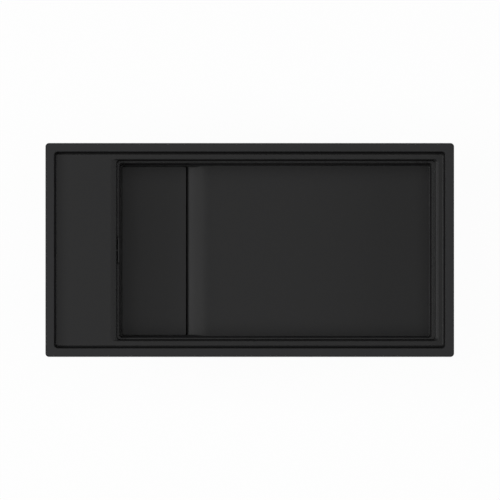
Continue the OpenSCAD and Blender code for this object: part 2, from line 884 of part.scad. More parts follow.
module clamp_screws() {
    color(zinc)
        at_clamps()
            difference() {
                union() {
                    translate([0, 0, clamp_z - 3.5])
                        cylinder(r = clamp_screw_r + 2, h = 3.5);
                    translate([0, 0, clamp_z - 0.5])
                        cylinder(r = clamp_screw_r, h = boss_foot + insert_l - 2 - clamp_z);
                }
                translate([0, 0, clamp_z - 4.5])
                    cylinder(r = clamp_screw_r - 0.5, h = 3, $fn = 6);
            }
}

// Pressed arm with a round tail and an upturned toe
module clamp(index) {
    place = clamps[index];
    color(zinc)
        translate([place[0], place[1], clamp_z])
            rotate(place[2])
                difference() {
                    union() {
                        cylinder(r = clamp_w / 2, h = clamp_t);
                        translate([0, -clamp_w / 2, 0])
                            cube([clamp_arm, clamp_w, clamp_t]);
                        translate([clamp_arm - clamp_t, -clamp_w / 2, 0])
                            cube([clamp_t, clamp_w, clamp_toe]);
                        for (y = [-1, 1])
                            translate([clamp_w / 2, y * (clamp_w / 2 - 0.75) - 0.75, clamp_t - 0.1])
                                cube([clamp_arm - clamp_w / 2 - clamp_t, 1.5, 1.6]);
                    }
                    translate([0, 0, -1])
                        cylinder(r = clamp_screw_r + clamp_clear, h = clamp_t + 2);
                }
}

sink_bowl();
rim_seal();
drain_cover();
cover_feet();
waste_flange();
flange_seal();
body_gasket();
waste_body();
body_insert();
centre_screw();
strainer_basket();
basket_seal();
strainer_knob();
overflow_cover();
overflow_screw();
overflow_gasket();
overflow_housing();
overflow_hose();
hose_nuts();
hose_seals();
clamp_inserts();
clamp_screws();
clamp(0);  // clamp_1
clamp(1);  // clamp_2
clamp(2);  // clamp_3
clamp(3);  // clamp_4
clamp(4);  // clamp_5
clamp(5);  // clamp_6
clamp(6);  // clamp_7
clamp(7);  // clamp_8
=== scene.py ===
"""Draws a two-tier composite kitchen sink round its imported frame, in metres, with +Z up."""
import json
import math
from collections import namedtuple

import bmesh
import bpy
from bpy.props import FloatProperty, FloatVectorProperty, IntProperty, PointerProperty
from mathutils import Matrix, Vector


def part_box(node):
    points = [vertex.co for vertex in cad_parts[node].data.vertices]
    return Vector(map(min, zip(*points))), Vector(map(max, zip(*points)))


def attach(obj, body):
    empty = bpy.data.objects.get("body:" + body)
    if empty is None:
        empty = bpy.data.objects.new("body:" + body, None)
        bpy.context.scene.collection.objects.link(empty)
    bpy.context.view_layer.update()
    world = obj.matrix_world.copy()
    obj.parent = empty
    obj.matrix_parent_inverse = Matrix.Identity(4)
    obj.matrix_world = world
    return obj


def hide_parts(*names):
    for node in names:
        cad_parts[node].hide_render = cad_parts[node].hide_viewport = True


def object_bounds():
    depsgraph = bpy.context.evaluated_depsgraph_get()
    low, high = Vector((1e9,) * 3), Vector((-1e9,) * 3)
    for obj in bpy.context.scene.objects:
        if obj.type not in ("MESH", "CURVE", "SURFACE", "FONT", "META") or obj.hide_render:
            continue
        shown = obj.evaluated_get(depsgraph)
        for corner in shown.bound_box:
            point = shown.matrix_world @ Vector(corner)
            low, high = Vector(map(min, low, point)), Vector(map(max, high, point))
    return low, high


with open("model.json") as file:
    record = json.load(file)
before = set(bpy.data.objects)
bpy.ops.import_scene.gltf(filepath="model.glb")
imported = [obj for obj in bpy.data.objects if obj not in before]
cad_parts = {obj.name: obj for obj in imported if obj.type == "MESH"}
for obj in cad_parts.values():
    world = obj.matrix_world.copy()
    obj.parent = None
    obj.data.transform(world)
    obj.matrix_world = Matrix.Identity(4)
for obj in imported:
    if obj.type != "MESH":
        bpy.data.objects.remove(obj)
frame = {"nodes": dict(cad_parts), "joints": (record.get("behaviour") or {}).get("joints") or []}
cad_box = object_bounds()

bl_info = {
    "name": "Composite kitchen sink",
    "version": (1, 0, 0),
    "blender": (4, 5, 0),
    "location": "View3D > Sidebar > Sink",
    "description": "Builds a two-tier composite sink with its waste, overflow and clamps",
    "category": "Add Mesh",
}

QUARTER = math.pi / 2
# Points nearer than MERGE are one, and a corner with a half angle past STRAIGHT stays as it is.
MERGE = 1e-6
STRAIGHT = QUARTER * 0.98
# An edge's roll has its full width once it has gone down this share of its radius.
ROLL_PART = 0.58
CORNER_STEPS = 12
# Edges that turn by more than this many degrees are kept sharp, or given their own rounding.
SHARP = 30.0
# Least corner radius of the moulding's outside, and how far a tool passes the faces that it cuts.
LEAST_CORNER = 0.002
OVERCUT = 0.001
# How much wider the waste body is than the channel's hole, and the radius of its screw's hole.
BODY_WIDER = 0.002
SCREW_HOLE = 0.0053
# How far the threads stand out on the outlet and on the clamps' screws.
OUTLET_RIDGE = 0.0010
THREAD_DEEP = 0.00045
VIEW_HEIGHT = 1.2
FLOOR_WIDTH = 30.0


def length(name, description, default):
    """A size in metres for the sidebar."""
    return FloatProperty(name=name, description=description, default=default, min=0.0,
                         precision=4, unit="LENGTH", subtype="DISTANCE")


def degrees(name, description, default):
    """An angle for the sidebar, given in degrees."""
    return FloatProperty(name=name, description=description, default=math.radians(default),
                         unit="ROTATION", subtype="ANGLE")


def colour(name, description, default):
    """A linear colour for the sidebar."""
    return FloatVectorProperty(name=name, description=description, default=default, size=3,
                               min=0.0, max=1.0, subtype="COLOR")


def share(name, description, default):
    """A plain factor for the sidebar."""
    return FloatProperty(name=name, description=description, default=default, min=0.0, max=1.0)


def count(name, description, default):
    """A whole number for the sidebar."""
    return IntProperty(name=name, description=description, default=default, min=1)


class MouldingSizes(bpy.types.PropertyGroup):
    """Sizes of the one-piece moulding"""

    corner: length("Rim corner", "Radius of the rim's outer corners", 0.0075)
    land: length("Rim land", "Flat width of the rim round the opening", 0.019)
    rim_edge: length("Rim edge", "Rounding of the rim's outer edge", 0.0035)
    edge: length("Recess edge", "Rounding of the recesses' edges", 0.002)
    wall: length("Wall", "Wall thickness of the moulding", 0.009)
    recess_corner: length("Recess corner", "Corner radius of both recesses", 0.007)
    upper_drop: length("Deck depth", "Depth of the deck below the rim", 0.025)
    upper_draft: degrees("Upper draft", "Draft of the upper wall", 4.5)
    upper_fillet: length("Upper fillet", "Fillet at the foot of the upper wall", 0.0045)
    deck: length("Deck length", "Length of the deck on the left", 0.1245)
    deck_roll: length("Deck roll", "Width of the roll-off at the deck's edge", 0.013)
    side_roll: length("Side roll", "Extra width of the rounding at the right ledge's edge", 0.005)
    upper_side: length("Upper side ledge", "Width of the upper ledge at the right", 0.014)
    upper_ledge: length("Upper ledge", "Width of the upper ledge, front and back", 0.0105)
    lower_drop: length("Lower drop", "Depth of the lower ledge below the deck", 0.030)
    lower_draft: degrees("Lower draft", "Draft of the wall between the tiers", 1.5)
    lower_edge: length("Tier edge", "Rounding of the edge between the tiers", 0.003)
    lower_fillet: length("Lower fillet", "Fillet at the foot of the wall between the tiers", 0.0025)
    lower_left: length("Left ledge", "Width of the lower ledge at the left", 0.007)
    lower_right: length("Right ledge", "Width of the lower ledge at the right", 0.0085)
    lower_ledge: length("Lower ledge", "Width of the lower ledge, front and back", 0.0065)
    depth: length("Bowl depth", "Depth of the bowl's floor below the rim", 0.200)
    bowl_draft: degrees("Bowl draft", "Draft of the bowl's walls", 0.75)
    bowl_corner: length("Bowl corner", "Corner radius of the bowl", 0.005)
    bowl_fillet: length("Bowl fillet", "Fillet between the bowl's walls and its floor", 0.0025)
    sill: length("Channel sill", "Floor left between the bowl's walls and the channel", 0.0003)
    channel: length("Channel length", "Length of the drain channel", 0.138)
    channel_drop: length("Channel depth", "Depth of the channel below the floor", 0.032)
    channel_fillet: length("Channel fillet", "Fillet at the foot of the channel's walls", 0.004)
    fall: length("Sloping edge", "Length of the sloping edge beside the channel", 0.050)
    fall_drop: length("Slope drop", "Drop of the sloping edge", 0.009)
    slope_foot: length("Slope foot", "Rounding between the sloping edge and the channel", 0.0012)
    waste_hole: length("Waste hole", "Radius of the hole in the channel's floor", 0.045)
    boss: length("Boss radius", "Radius of the bosses for the clamps", 0.007)
    boss_drop: length("Boss height", "Height of the bosses for the clamps", 0.018)
    slot_w: length("Overflow slot width", "Width of the overflow slot", 0.044)
    slot_h: length("Overflow slot height", "Height of the overflow slot", 0.011)
    soft_edge: length("Soft edge", "Rounding left by the mould on cut edges", 0.0007)


class FittingSizes(bpy.types.PropertyGroup):
    """Sizes of the waste, the strainer, the overflow and the clamps"""

    bevel: length("Edge rounding", "Rounding of the small parts' edges", 0.0003)
    bend: length("Bend", "Bend radius of the pressed steel", 0.0015)
    sheet: length("Flange sheet", "Sheet thickness of the steel flange", 0.0012)
    flange_edge: length("Flange edge", "Distance from the cup's wall to the flange's flat", 0.003)
    cup_radius: length("Cup radius", "Inner radius of the strainer cup", 0.041)
    seat_rise: length("Seat", "Height of the conical seat above the cup's floor", 0.015)
    seat_drop: length("Seat drop", "Height and width of the conical seat", 0.008)
    cup_holes: count("Cup holes", "Holes in the cup's floor", 8)
    body_wall: length("Body wall", "Wall thickness of the waste body", 0.003)
    body_lip: length("Body lip", "Height of the waste body's lip", 0.003)
    outlet_radius: length("Outlet radius", "Radius over the outlet's thread", 0.0239)
    outlet_wall: length("Outlet wall", "Wall thickness of the outlet", 0.0034)
    outlet: length("Outlet length", "Length of the threaded outlet", 0.026)
    outlet_pitch: length("Outlet pitch", "Pitch of the outlet's thread", 0.0023)
    taper: length("Taper", "Height of the body's taper to the outlet", 0.012)
    hub_radius: length("Hub radius", "Radius of the hub inside the body", 0.010)
    hub_web: length("Hub webs", "Thickness of the webs that carry the hub", 0.003)
    port_radius: length("Port radius", "Radius of the overflow port", 0.0095)
    port_bore: length("Port bore", "Inner radius of the overflow port", 0.0068)
    basket_sheet: length("Basket sheet", "Sheet thickness of the strainer basket", 0.0008)
    hole: length("Hole radius", "Radius of the holes in the basket", 0.0019)
    hole_in: length("First ring", "Radius inside the first ring of holes", 0.005)
    hole_step: length("Ring step", "Distance between two rings of holes", 0.0065)
    slots: count("Basket slots", "Slots in the basket's wall", 18)
    slot_wide: length("Slot width", "Width of the slots in the basket's wall", 0.0025)
    slot_tall: length("Slot height", "Height of the slots in the basket's wall", 0.008)
    stem: length("Stem radius", "Radius of the knob's stem", 0.003)
    rib_pitch: length("Hose pitch", "Distance between two ribs of the hose", 0.004)
    hose_rib: length("Hose rib radius", "Outer radius of the hose's ribs", 0.009)
    hose_root: length("Hose root radius", "Outer radius of the hose between its ribs", 0.0076)
    hose_wall: length("Hose wall", "Wall thickness of the hose", 0.001)
    hose_cuff: length("Hose cuff", "Length of the plain end of the hose", 0.014)
    hose_bend: length("Hose bend", "Bend radius of the hose along its middle", 0.066)
    nut_ribs: count("Nut ribs", "Grip ribs on each union nut", 24)
    nut_radius: length("Nut radius", "Radius of the union nuts between their ribs", 0.0135)
    nut: length("Nut length", "Length of the union nuts", 0.017)
    nut_over: length("Nut reach", "How far the nuts reach over the hose", 0.005)
    screw: length("Screw radius", "Outer radius of the clamp screws' thread", 0.0025)
    screw_head: length("Screw head", "Height of the clamp screws' head", 0.0035)
    screw_pitch: length("Screw pitch", "Pitch of the clamp screws' thread", 0.0008)
    socket: length("Screw socket", "Radius of the hexagon in the screw's head", 0.002)
    cross: length("Cross recess", "Length of the recess in the overflow screw's head", 0.0046)


class Finishes(bpy.types.PropertyGroup):
    """Colours and textures of the pieces"""

    composite: colour("Composite", "Stone and resin composite", (0.0140, 0.0140, 0.0143))
    composite_back: colour("Composite back", "Unseen back of the moulding", (0.030, 0.030, 0.031))
    grain: length("Grain", "Size of the grains in the composite", 0.0004)
    rubber: colour("Rubber", "Seals, gaskets and feet", (0.015, 0.015, 0.015))
    steel: colour("Stainless steel", "Flange, basket and knob", (0.60, 0.61, 0.62))
    plastic: colour("Waste plastic", "Waste body, funnel and nuts", (0.030, 0.030, 0.031))
    hose: colour("Hose plastic", "Ribbed hose", (0.035, 0.035, 0.036))
    brass: colour("Brass", "Threaded inserts", (0.60, 0.45, 0.20))
    zinc: colour("Zinc plate", "Clamps and their screws", (0.50, 0.51, 0.53))
    black_zinc: colour("Black zinc plate", "Screw of the overflow's cover", (0.045, 0.045, 0.048))


class StudioSettings(bpy.types.PropertyGroup):
    """Camera, lamps and floor"""

    view_width: length("View width", "Width that the camera sees", 1.0524)
    view_shift: length("View offset", "Offset of the camera to the right of the middle", 0.00056)
    view_lean: degrees("View lean", "Angle of the view towards the front", 0.6)
    view_side_lean: degrees("View side lean", "Angle of the view towards the right", -0.3)
    overhead: share("Overhead lamp", "Share of the light from straight above", 0.36)
    left_high: share("High left lamp", "Share of the light from the high left softbox", 0.14)
    left: share("Left lamp", "Share of the light from the left softbox", 0.26)
    right: share("Right lamp", "Share of the light from the right softbox", 0.14)
    fill: share("Fill", "Share of the light from all round", 0.03)
    reach: length("Lamp distance", "Distance of the lamps from the sink", 4.0)
    floor_white: share("Floor white", "How far the floor is plain white to the eye", 0.965)


def arithmetic(operation, reflected=False):
    """A method that adds a Math node for a field and the other values that it takes."""
    def method(self, *others):
        values = (*others, self) if reflected else (self, *others)
        return self.nodes.add("ShaderNodeMath", {"operation": operation}, dict(enumerate(values)))
    return method


class Field:
    """An output socket that takes part in plain arithmetic."""

    def __init__(self, nodes, socket):
        self.nodes = nodes
        self.socket = socket

    __add__, __radd__ = arithmetic("ADD"), arithmetic("ADD", True)
    __sub__, __rsub__ = arithmetic("SUBTRACT"), arithmetic("SUBTRACT", True)
    __mul__, __rmul__ = arithmetic("MULTIPLY"), arithmetic("MULTIPLY", True)
    __truediv__, __pow__ = arithmetic("DIVIDE"), arithmetic("POWER")
    __gt__, __lt__ = arithmetic("GREATER_THAN"), arithmetic("LESS_THAN")
    least, most, cosine = arithmetic("MINIMUM"), arithmetic("MAXIMUM"), arithmetic("COSINE")


class Nodes:
    """Adds nodes to one tree and joins their sockets."""

    def __init__(self, tree):
        self.tree = tree

    def add(self, kind, settings=None, inputs=None, output=0):
        """Makes a node, sets it up, fills its sockets and returns one output, or a node without any."""
        made = self.tree.nodes.new(kind)
        for key, value in (settings or {}).items():
            if key == "stops":
                fill_ramp(made.color_ramp, value)
            else:
                setattr(made, key, value)
        for key, value in (inputs or {}).items():
            for part in value if isinstance(value, list) else [value]:
                if isinstance(part, Field):
                    self.tree.links.new(part.socket, made.inputs[key])
                else:
                    made.inputs[key].default_value = part
        return Field(self, made.outputs[output]) if made.outputs else made


def fill_ramp(ramp, stops):
    """Sets a ramp to grey stops, each given as (place, level)."""
    while len(ramp.elements) < len(stops):
        ramp.elements.new(1.0)
    for element, (place, level) in zip(ramp.elements, stops):
        element.position = place
        element.color = (level, level, level, 1.0)


class Finish(Nodes):
    """One material, with the patterns that the finishes share."""

    def __init__(self, name, centre=(0.0, 0.0, 0.0)):
        self.material = bpy.data.materials.new(name)
        self.material.use_nodes = True
        super().__init__(self.material.node_tree)
        self.tree.nodes.clear()
        place = self.add("ShaderNodeTexCoord", output="Object")
        offset = tuple(-c for c in centre)
        self.place = self.add("ShaderNodeMapping", inputs={"Vector": place, "Location": offset})

    def noise(self, size, detail=2.0, stretch=(1.0, 1.0, 1.0)):
        """Soft noise whose lumps are about size metres across."""
        place = self.add("ShaderNodeMapping", inputs={"Vector": self.place, "Scale": stretch})
        inputs = {"Vector": place, "Scale": 1 / size, "Detail": detail}
        return self.add("ShaderNodeTexNoise", inputs=inputs)

    def grains(self, size, output):
        """Cells about size metres across: the Distance to each one's point, or its random Color."""
        inputs = {"Vector": self.place, "Scale": 1 / size}
        return self.add("ShaderNodeTexVoronoi", inputs=inputs, output=output)

    def red(self, colours):
        """The red part of a colour, as a number."""
        return self.add("ShaderNodeSeparateColor", inputs={0: colours})

    def ramp(self, value, stops):
        """A grey ramp over a value."""
        return self.red(self.add("ShaderNodeValToRGB", {"stops": stops}, {0: value}))

    def tinted(self, base, level):
        """A colour made lighter or darker by a level around 1."""
        grey = self.add("ShaderNodeCombineColor", inputs={0: level, 1: level, 2: level})
        # A Mix node's factor is input 0, its two colours are 6 and 7, and the mix is output 2.
        inputs = {0: 1.0, 6: (*base, 1.0), 7: grey}
        return self.add("ShaderNodeMix", {"data_type": "RGBA", "blend_type": "MULTIPLY"}, inputs, 2)

    def ring_lines(self, size):
        """Fine lines round the vertical axis through the centre, as a lathe leaves them."""
        x, y, z = [self.add("ShaderNodeSeparateXYZ", inputs={0: self.place}, output=axis)
                   for axis in "XYZ"]
        where = self.add("ShaderNodeCombineXYZ", inputs={0: (x * x + y * y) ** 0.5, 1: z})
        return self.add("ShaderNodeTexNoise", {"noise_dimensions": "2D"},
                        {"Vector": where, "Scale": 1 / size, "Detail": 1.0})

    def finish(self, base, level, roughness, height, relief, strength=0.5, **constants):
        """Joins the patterns to a principled shader, with constants on its own sockets."""
        bump = {"Height": height, "Distance": relief, "Strength": strength}
        inputs = {"Base Color": self.tinted(base, level), "Roughness": roughness,
                  "Normal": self.add("ShaderNodeBump", inputs=bump)}
        for key, value in constants.items():
            inputs[key.replace("_", " ")] = value
        shader = self.add("ShaderNodeBsdfPrincipled", inputs=inputs)
        self.add("ShaderNodeOutputMaterial", inputs={"Surface": shader})
        return self.material


def composite_finish(name, base, grain, roughness=0.30, relief=0.00002):
    """Stone grains in dark resin: pale and dark flecks, a fine tooth and a slow change of tone."""
    paint = Finish(name)
    fleck = paint.red(paint.grains(grain, "Color"))
    pale = paint.ramp(fleck, [(0.0, 0.0), (0.86, 0.0), (0.97, 1.0)])
    dark = paint.ramp(fleck, [(0.0, 1.0), (0.10, 1.0), (0.16, 0.0)])
    tone = paint.noise(0.11, 3.0)
    fine = paint.noise(grain * 0.8, 3.0)
    level = 0.94 + 0.07 * tone + 0.08 * fine + 0.22 * pale - 0.14 * dark
    rough = roughness + 0.06 * (fine - 0.5) + 0.04 * (tone - 0.5) - 0.05 * pale
    tooth = fine * 0.7 + paint.grains(grain, "Distance") * 0.3 + paint.noise(grain * 6.0) * 0.6
    return paint.finish(base, level, rough, tooth, relief, Specular_IOR_Level=0.095)


def rubber_finish(name, base):
    """Dull rubber with a dusty bloom."""
    paint = Finish(name)
    bloom = paint.noise(0.012, 4.0)
    fine = paint.noise(0.0006)
    level = 0.8 + 0.5 * bloom
    rough = 0.72 + 0.16 * bloom
    return paint.finish(base, level, rough, fine, 0.00008, Specular_IOR_Level=0.3)


def turned_steel_finish(name, base, centre, roughness):
    """Steel with fine rings round its axis and faint water marks."""
    paint = Finish(name, centre)
    rings = paint.ring_lines(0.0004)
    marks = paint.noise(0.014, 4.0)
    level = 0.90 + 0.12 * rings + 0.06 * marks
    rough = roughness + 0.10 * (rings - 0.5) + 0.08 * (marks - 0.5)
    return paint.finish(base, level, rough, rings, 0.00003, Metallic=1.0)


def moulded_plastic_finish(name, base, roughness):
    """Moulded plastic with a light spark texture and faint flow lines."""
    paint = Finish(name)
    spark = paint.noise(0.0007, 3.0)
    flow = paint.noise(0.03, stretch=(1.0, 1.0, 0.35))
    level = 0.88 + 0.16 * flow + 0.08 * spark
    rough = roughness + 0.10 * (spark - 0.5) + 0.08 * (flow - 0.5)
    return paint.finish(base, level, rough, spark, 0.00007, strength=0.6)


def brass_finish(name, base):
    """Turned brass, slightly dulled."""
    paint = Finish(name)
    dull = paint.noise(0.002, 4.0)
    level = 0.82 + 0.26 * dull
    rough = 0.26 + 0.2 * dull
    return paint.finish(base, level, rough, dull, 0.00002, Metallic=1.0)


def zinc_finish(name, base):
    """Zinc plate: a crystalline grey with soft cloudy patches."""
    paint = Finish(name)
    crystals = paint.red(paint.grains(0.0012, "Color"))
    cloud = paint.noise(0.009, 4.0)
    level = 0.88 + 0.06 * crystals + 0.14 * cloud
    rough = 0.32 + 0.08 * crystals + 0.12 * (cloud - 0.3)
    return paint.finish(base, level, rough, crystals, 0.00002, strength=0.4, Metallic=1.0)


def add_object(name, mesh):
    """Links a mesh to the scene as an object at the origin."""
    made = bpy.data.objects.new(name, mesh)
    bpy.context.scene.collection.objects.link(made)
    return made


def drop(*objects):
    """Removes helper objects."""
    for helper in objects:
        bpy.data.objects.remove(helper)


def settle(piece):
    """Turns the evaluated shape into the piece's own plain mesh and clears its modifiers."""
    graph = bpy.context.evaluated_depsgraph_get()
    graph.update()
    mesh = bpy.data.meshes.new_from_object(piece.evaluated_get(graph), depsgraph=graph)
    mesh.name = piece.name
    piece.modifiers.clear()
    piece.data = mesh
    return piece


def new_object(name, points, edges, faces, material=None):
    """A mesh object at the origin from its points, edges and faces."""
    mesh = bpy.data.meshes.new(name)
    mesh.from_pydata(points, edges, faces)
    if material is not None:
        mesh.materials.append(material)
    return add_object(name, mesh)


def closed_object(name, points, faces, material):
    """A mesh object whose doubled points are merged and whose faces point outwards."""
    made = new_object(name, points, [], faces, material)
    work = bmesh.new()
    work.from_mesh(made.data)
    bmesh.ops.remove_doubles(work, verts=work.verts, dist=MERGE)
    bmesh.ops.recalc_face_normals(work, faces=work.faces)
    work.to_mesh(made.data)
    work.free()
    return made


def loft(name, rings, material=None):
    """Closed solid through rings of as many points each."""
    n = len(rings[0])
    points = [p for ring in rings for p in ring]
    last = (len(rings) - 1) * n
    faces = [list(range(n)), list(range(last + n - 1, last - 1, -1))]
    for k in range(len(rings) - 1):
        for i in range(n):
            j = (i + 1) % n
            faces.append([k * n + i, (k + 1) * n + i, (k + 1) * n + j, k * n + j])
    return closed_object(name, points, faces, material)


def all_round(sides):
    """The angles of a circle's evenly spaced points."""
    return [2 * math.pi * i / sides for i in range(sides)]


def turned(name, outline, sides, material, axis=(0.0, 0.0)):
    """Solid turned about a vertical axis from a closed outline of (radius, level)."""
    points = [(axis[0] + radius * math.cos(a), axis[1] + radius * math.sin(a), level)
              for a in all_round(sides) for radius, level in outline]
    n = len(outline)
    faces = []
    for i in range(sides):
        for k in range(n):
            at_axis = outline[k][0] < MERGE and outline[(k + 1) % n][0] < MERGE
            if not at_axis:
                here, there = i * n, (i + 1) % sides * n
                faces.append([here + k, there + k, there + (k + 1) % n, here + (k + 1) % n])
    return closed_object(name, points, faces, material)


def filleted(outline, radius, steps=4):
    """A closed outline of (radius, level) with its corners rounded as far as its edges allow."""
    edge_share = 0.45
    rounded = []
    for i, corner in enumerate(outline):
        here = Vector(corner)
        back = Vector(outline[i - 1]) - here
        ahead = Vector(outline[(i + 1) % len(outline)]) - here
        half = back.angle(ahead) / 2
        if corner[0] < MERGE or half > STRAIGHT:
            rounded.append(corner)
            continue
        reach = min(radius / math.tan(half), back.length * edge_share, ahead.length * edge_share)
        start, end = here + back.normalized() * reach, here + ahead.normalized() * reach
        for k in range(steps + 1):
            t = k / steps
            rounded.append(tuple(start.lerp(here, t).lerp(here.lerp(end, t), t)))
    return rounded


def rod(name, radius, start, end, sides, material):
    """Round bar between two points."""
    start, end = Vector(start), Vector(end)
    turn = (end - start).to_track_quat("Z", "Y")
    ring = [Vector((radius * math.cos(a), radius * math.sin(a), 0.0)) for a in all_round(sides)]
    return loft(name, [[middle + turn @ p for p in ring] for middle in (end, start)], material)


def upright(name, radius, axis, low, high, sides, material=None):
    """Round bar that stands on a place, from one level up to another."""
    return rod(name, radius, (*axis, low), (*axis, high), sides, material)


def angles(count, start, end=QUARTER):
    """Evenly spaced angles, with both ends."""
    return [start + i * (end - start) / count for i in range(count + 1)]


def quarter_arc(radius, count, start=0.0):
    """A rounded corner's distances from the two sides that it joins, point by point."""
    return [(radius * (1 - math.cos(a)), radius * (1 - math.sin(a))) for a in angles(count, start)]


def corners(wide, tall):
    """Corners of a rectangle round the origin, turning left."""
    w, h = wide / 2, tall / 2
    return [(-w, -h), (w, -h), (w, h), (-w, h)]


def rectangle_ring(x0, x1, y0, y1, radius, steps=CORNER_STEPS):
    """Outline of a rectangle with round corners, turning left."""
    centres = [(x1 - radius, y1 - radius), (x0 + radius, y1 - radius),
               (x0 + radius, y0 + radius), (x1 - radius, y0 + radius)]
    ring = []
    for corner, (cx, cy) in enumerate(centres):
        for i in range(steps + 1):
            a = QUARTER * (corner + i / steps)
            ring.append((cx + radius * math.cos(a), cy + radius * math.sin(a)))
    return ring


def carve(target, operation, *tools):
    """Adds solids to a target, or cuts them out of it, and removes them."""
    for tool in tools:
        modifier = target.modifiers.new("carve", "BOOLEAN")
        modifier.operation = operation
        modifier.solver = "EXACT"
        modifier.material_mode = "TRANSFER"
        modifier.object = tool
        settle(target)
        drop(tool)
    return target


def joined(name, parts, material):
    """One object from several, as plain geometry of one material."""
    whole = bmesh.new()
    for part in parts:
        whole.from_mesh(part.data)
    for face in whole.faces:
        face.material_index = 0
    mesh = bpy.data.meshes.new(name)
    whole.to_mesh(mesh)
    whole.free()
    mesh.materials.append(material)
    drop(*parts)
    return add_object(name, mesh)


def soften(piece, width, sharp):
    """Rounds the piece's sharp edges a little and shades the rest smooth."""
    if width > 0:
        bevel = piece.modifiers.new("edges", "BEVEL")
        bevel.limit_method = "ANGLE"
        bevel.angle_limit = math.radians(sharp)
        bevel.width = width
        bevel.segments = 2
        bevel.use_clamp_overlap = True
        settle(piece)
    return smooth(piece, sharp)


def smooth(piece, sharp=SHARP):
    """Shades the piece smooth up to an angle, with the large faces kept flat."""
    mesh = piece.data
    mesh.shade_smooth()
    mesh.set_sharp_from_angle(angle=math.radians(sharp))
    weighted = piece.modifiers.new("normals", "WEIGHTED_NORMAL")
    weighted.keep_sharp = True
    return settle(piece)


def copied(node, name, material, edge):
    """A merged copy of a CAD node with its edges rounded."""
    work = bmesh.new()
    work.from_mesh(frame["nodes"][node].data)
    bmesh.ops.remove_doubles(work, verts=work.verts, dist=2 * MERGE)
    flat = math.radians(0.5)
    bmesh.ops.dissolve_limit(work, angle_limit=flat, verts=work.verts, edges=work.edges)
    work.verts.index_update()
    points = [tuple(v.co) for v in work.verts]
    faces = [[v.index for v in f.verts] for f in work.faces]
    work.free()
    return soften(new_object(name, points, [], faces, material), edge, SHARP)


def place(piece, body, slot, *nodes):
    """Parents a finished piece to its body's empty and hides the CAD nodes that it stands in for."""
    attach(piece, body)
    if nodes:
        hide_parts(*nodes)


def dress(node, name, material, edge, body, slot):
    """Puts a copy of a CAD node, with its finish and soft edges, in the node's place."""
    place(copied(node, name, material, edge), body, slot, node)


# The kind of socket for each kind of default; an input without one takes an object.
SOCKETS = {float: "NodeSocketFloat", int: "NodeSocketInt", tuple: "NodeSocketVector",
           type(None): "NodeSocketObject"}


def new_tree(name, **defaults):
    """A geometry tree with named inputs and their defaults."""
    tree = bpy.data.node_groups.new(name, "GeometryNodeTree")
    tree.interface.new_socket("Geometry", in_out="INPUT", socket_type="NodeSocketGeometry")
    for key, default in defaults.items():
        socket = tree.interface.new_socket(key.replace("_", " "), in_out="INPUT",
                                           socket_type=SOCKETS[type(default)])
        if default is not None:
            socket.default_value = default
    tree.interface.new_socket("Material", in_out="INPUT", socket_type="NodeSocketMaterial")
    tree.interface.new_socket("Geometry", in_out="OUTPUT", socket_type="NodeSocketGeometry")
    nodes = Nodes(tree)
    entry = nodes.add("NodeGroupInput").socket.node
    given = {s.name: Field(nodes, s) for s in entry.outputs if s.name}
    return nodes, given


def close_tree(nodes, shape, given):
    """Ends a tree with real geometry and its material."""
    real = nodes.add("GeometryNodeRealizeInstances", inputs={0: shape})
    painted = nodes.add("GeometryNodeSetMaterial", inputs={0: real, "Material": given["Material"]})
    nodes.add("NodeGroupOutput", inputs={0: painted})
    return nodes.tree


def run_tree(piece, tree, material, **values):
    """Runs a tree on a piece and keeps the result as its plain mesh."""
    values["Material"] = material
    modifier = piece.modifiers.new(tree.name, "NODES")
    modifier.node_group = tree
    for item in tree.interface.items_tree:
        key = item.name.replace(" ", "_")
        if item.in_out == "INPUT" and key in values:
            modifier[item.identifier] = values[key]
    return settle(piece)


def ribbed_tube_tree():
    """A corrugated tube along a line of edges, with plain cuffs at both ends."""
    nodes, given = new_tree("ribbed_tube", Pitch=0.004, Rib_radius=0.009, Root_radius=0.0076,
                            Cuff=0.014, Sides=40)
    steps, fullness = 8, 0.6
    line = nodes.add("GeometryNodeMeshToCurve", inputs={0: given["Geometry"]})
    line = nodes.add("GeometryNodeResampleCurve", {"mode": "LENGTH"},
                     {"Curve": line, "Length": given["Pitch"] / steps})
    along = nodes.add("GeometryNodeSplineParameter", output="Length")
    whole = nodes.add("GeometryNodeSplineLength")
    ribbed = (along > given["Cuff"]) * (along < whole - given["Cuff"])
    wave = 0.5 + 0.5 * ((along - whole / 2) * (2 * math.pi) / given["Pitch"]).cosine()
    ridge = (given["Rib radius"] - given["Root radius"]) * wave ** fullness
    radius = given["Root radius"] + ridge * ribbed
    circle = {"Resolution": given["Sides"], "Radius": 1.0}
    profile = nodes.add("GeometryNodeCurvePrimitiveCircle", inputs=circle)
    skin = nodes.add("GeometryNodeCurveToMesh",
                     inputs={"Curve": line, "Profile Curve": profile, "Scale": radius})
    return close_tree(nodes, skin, given)


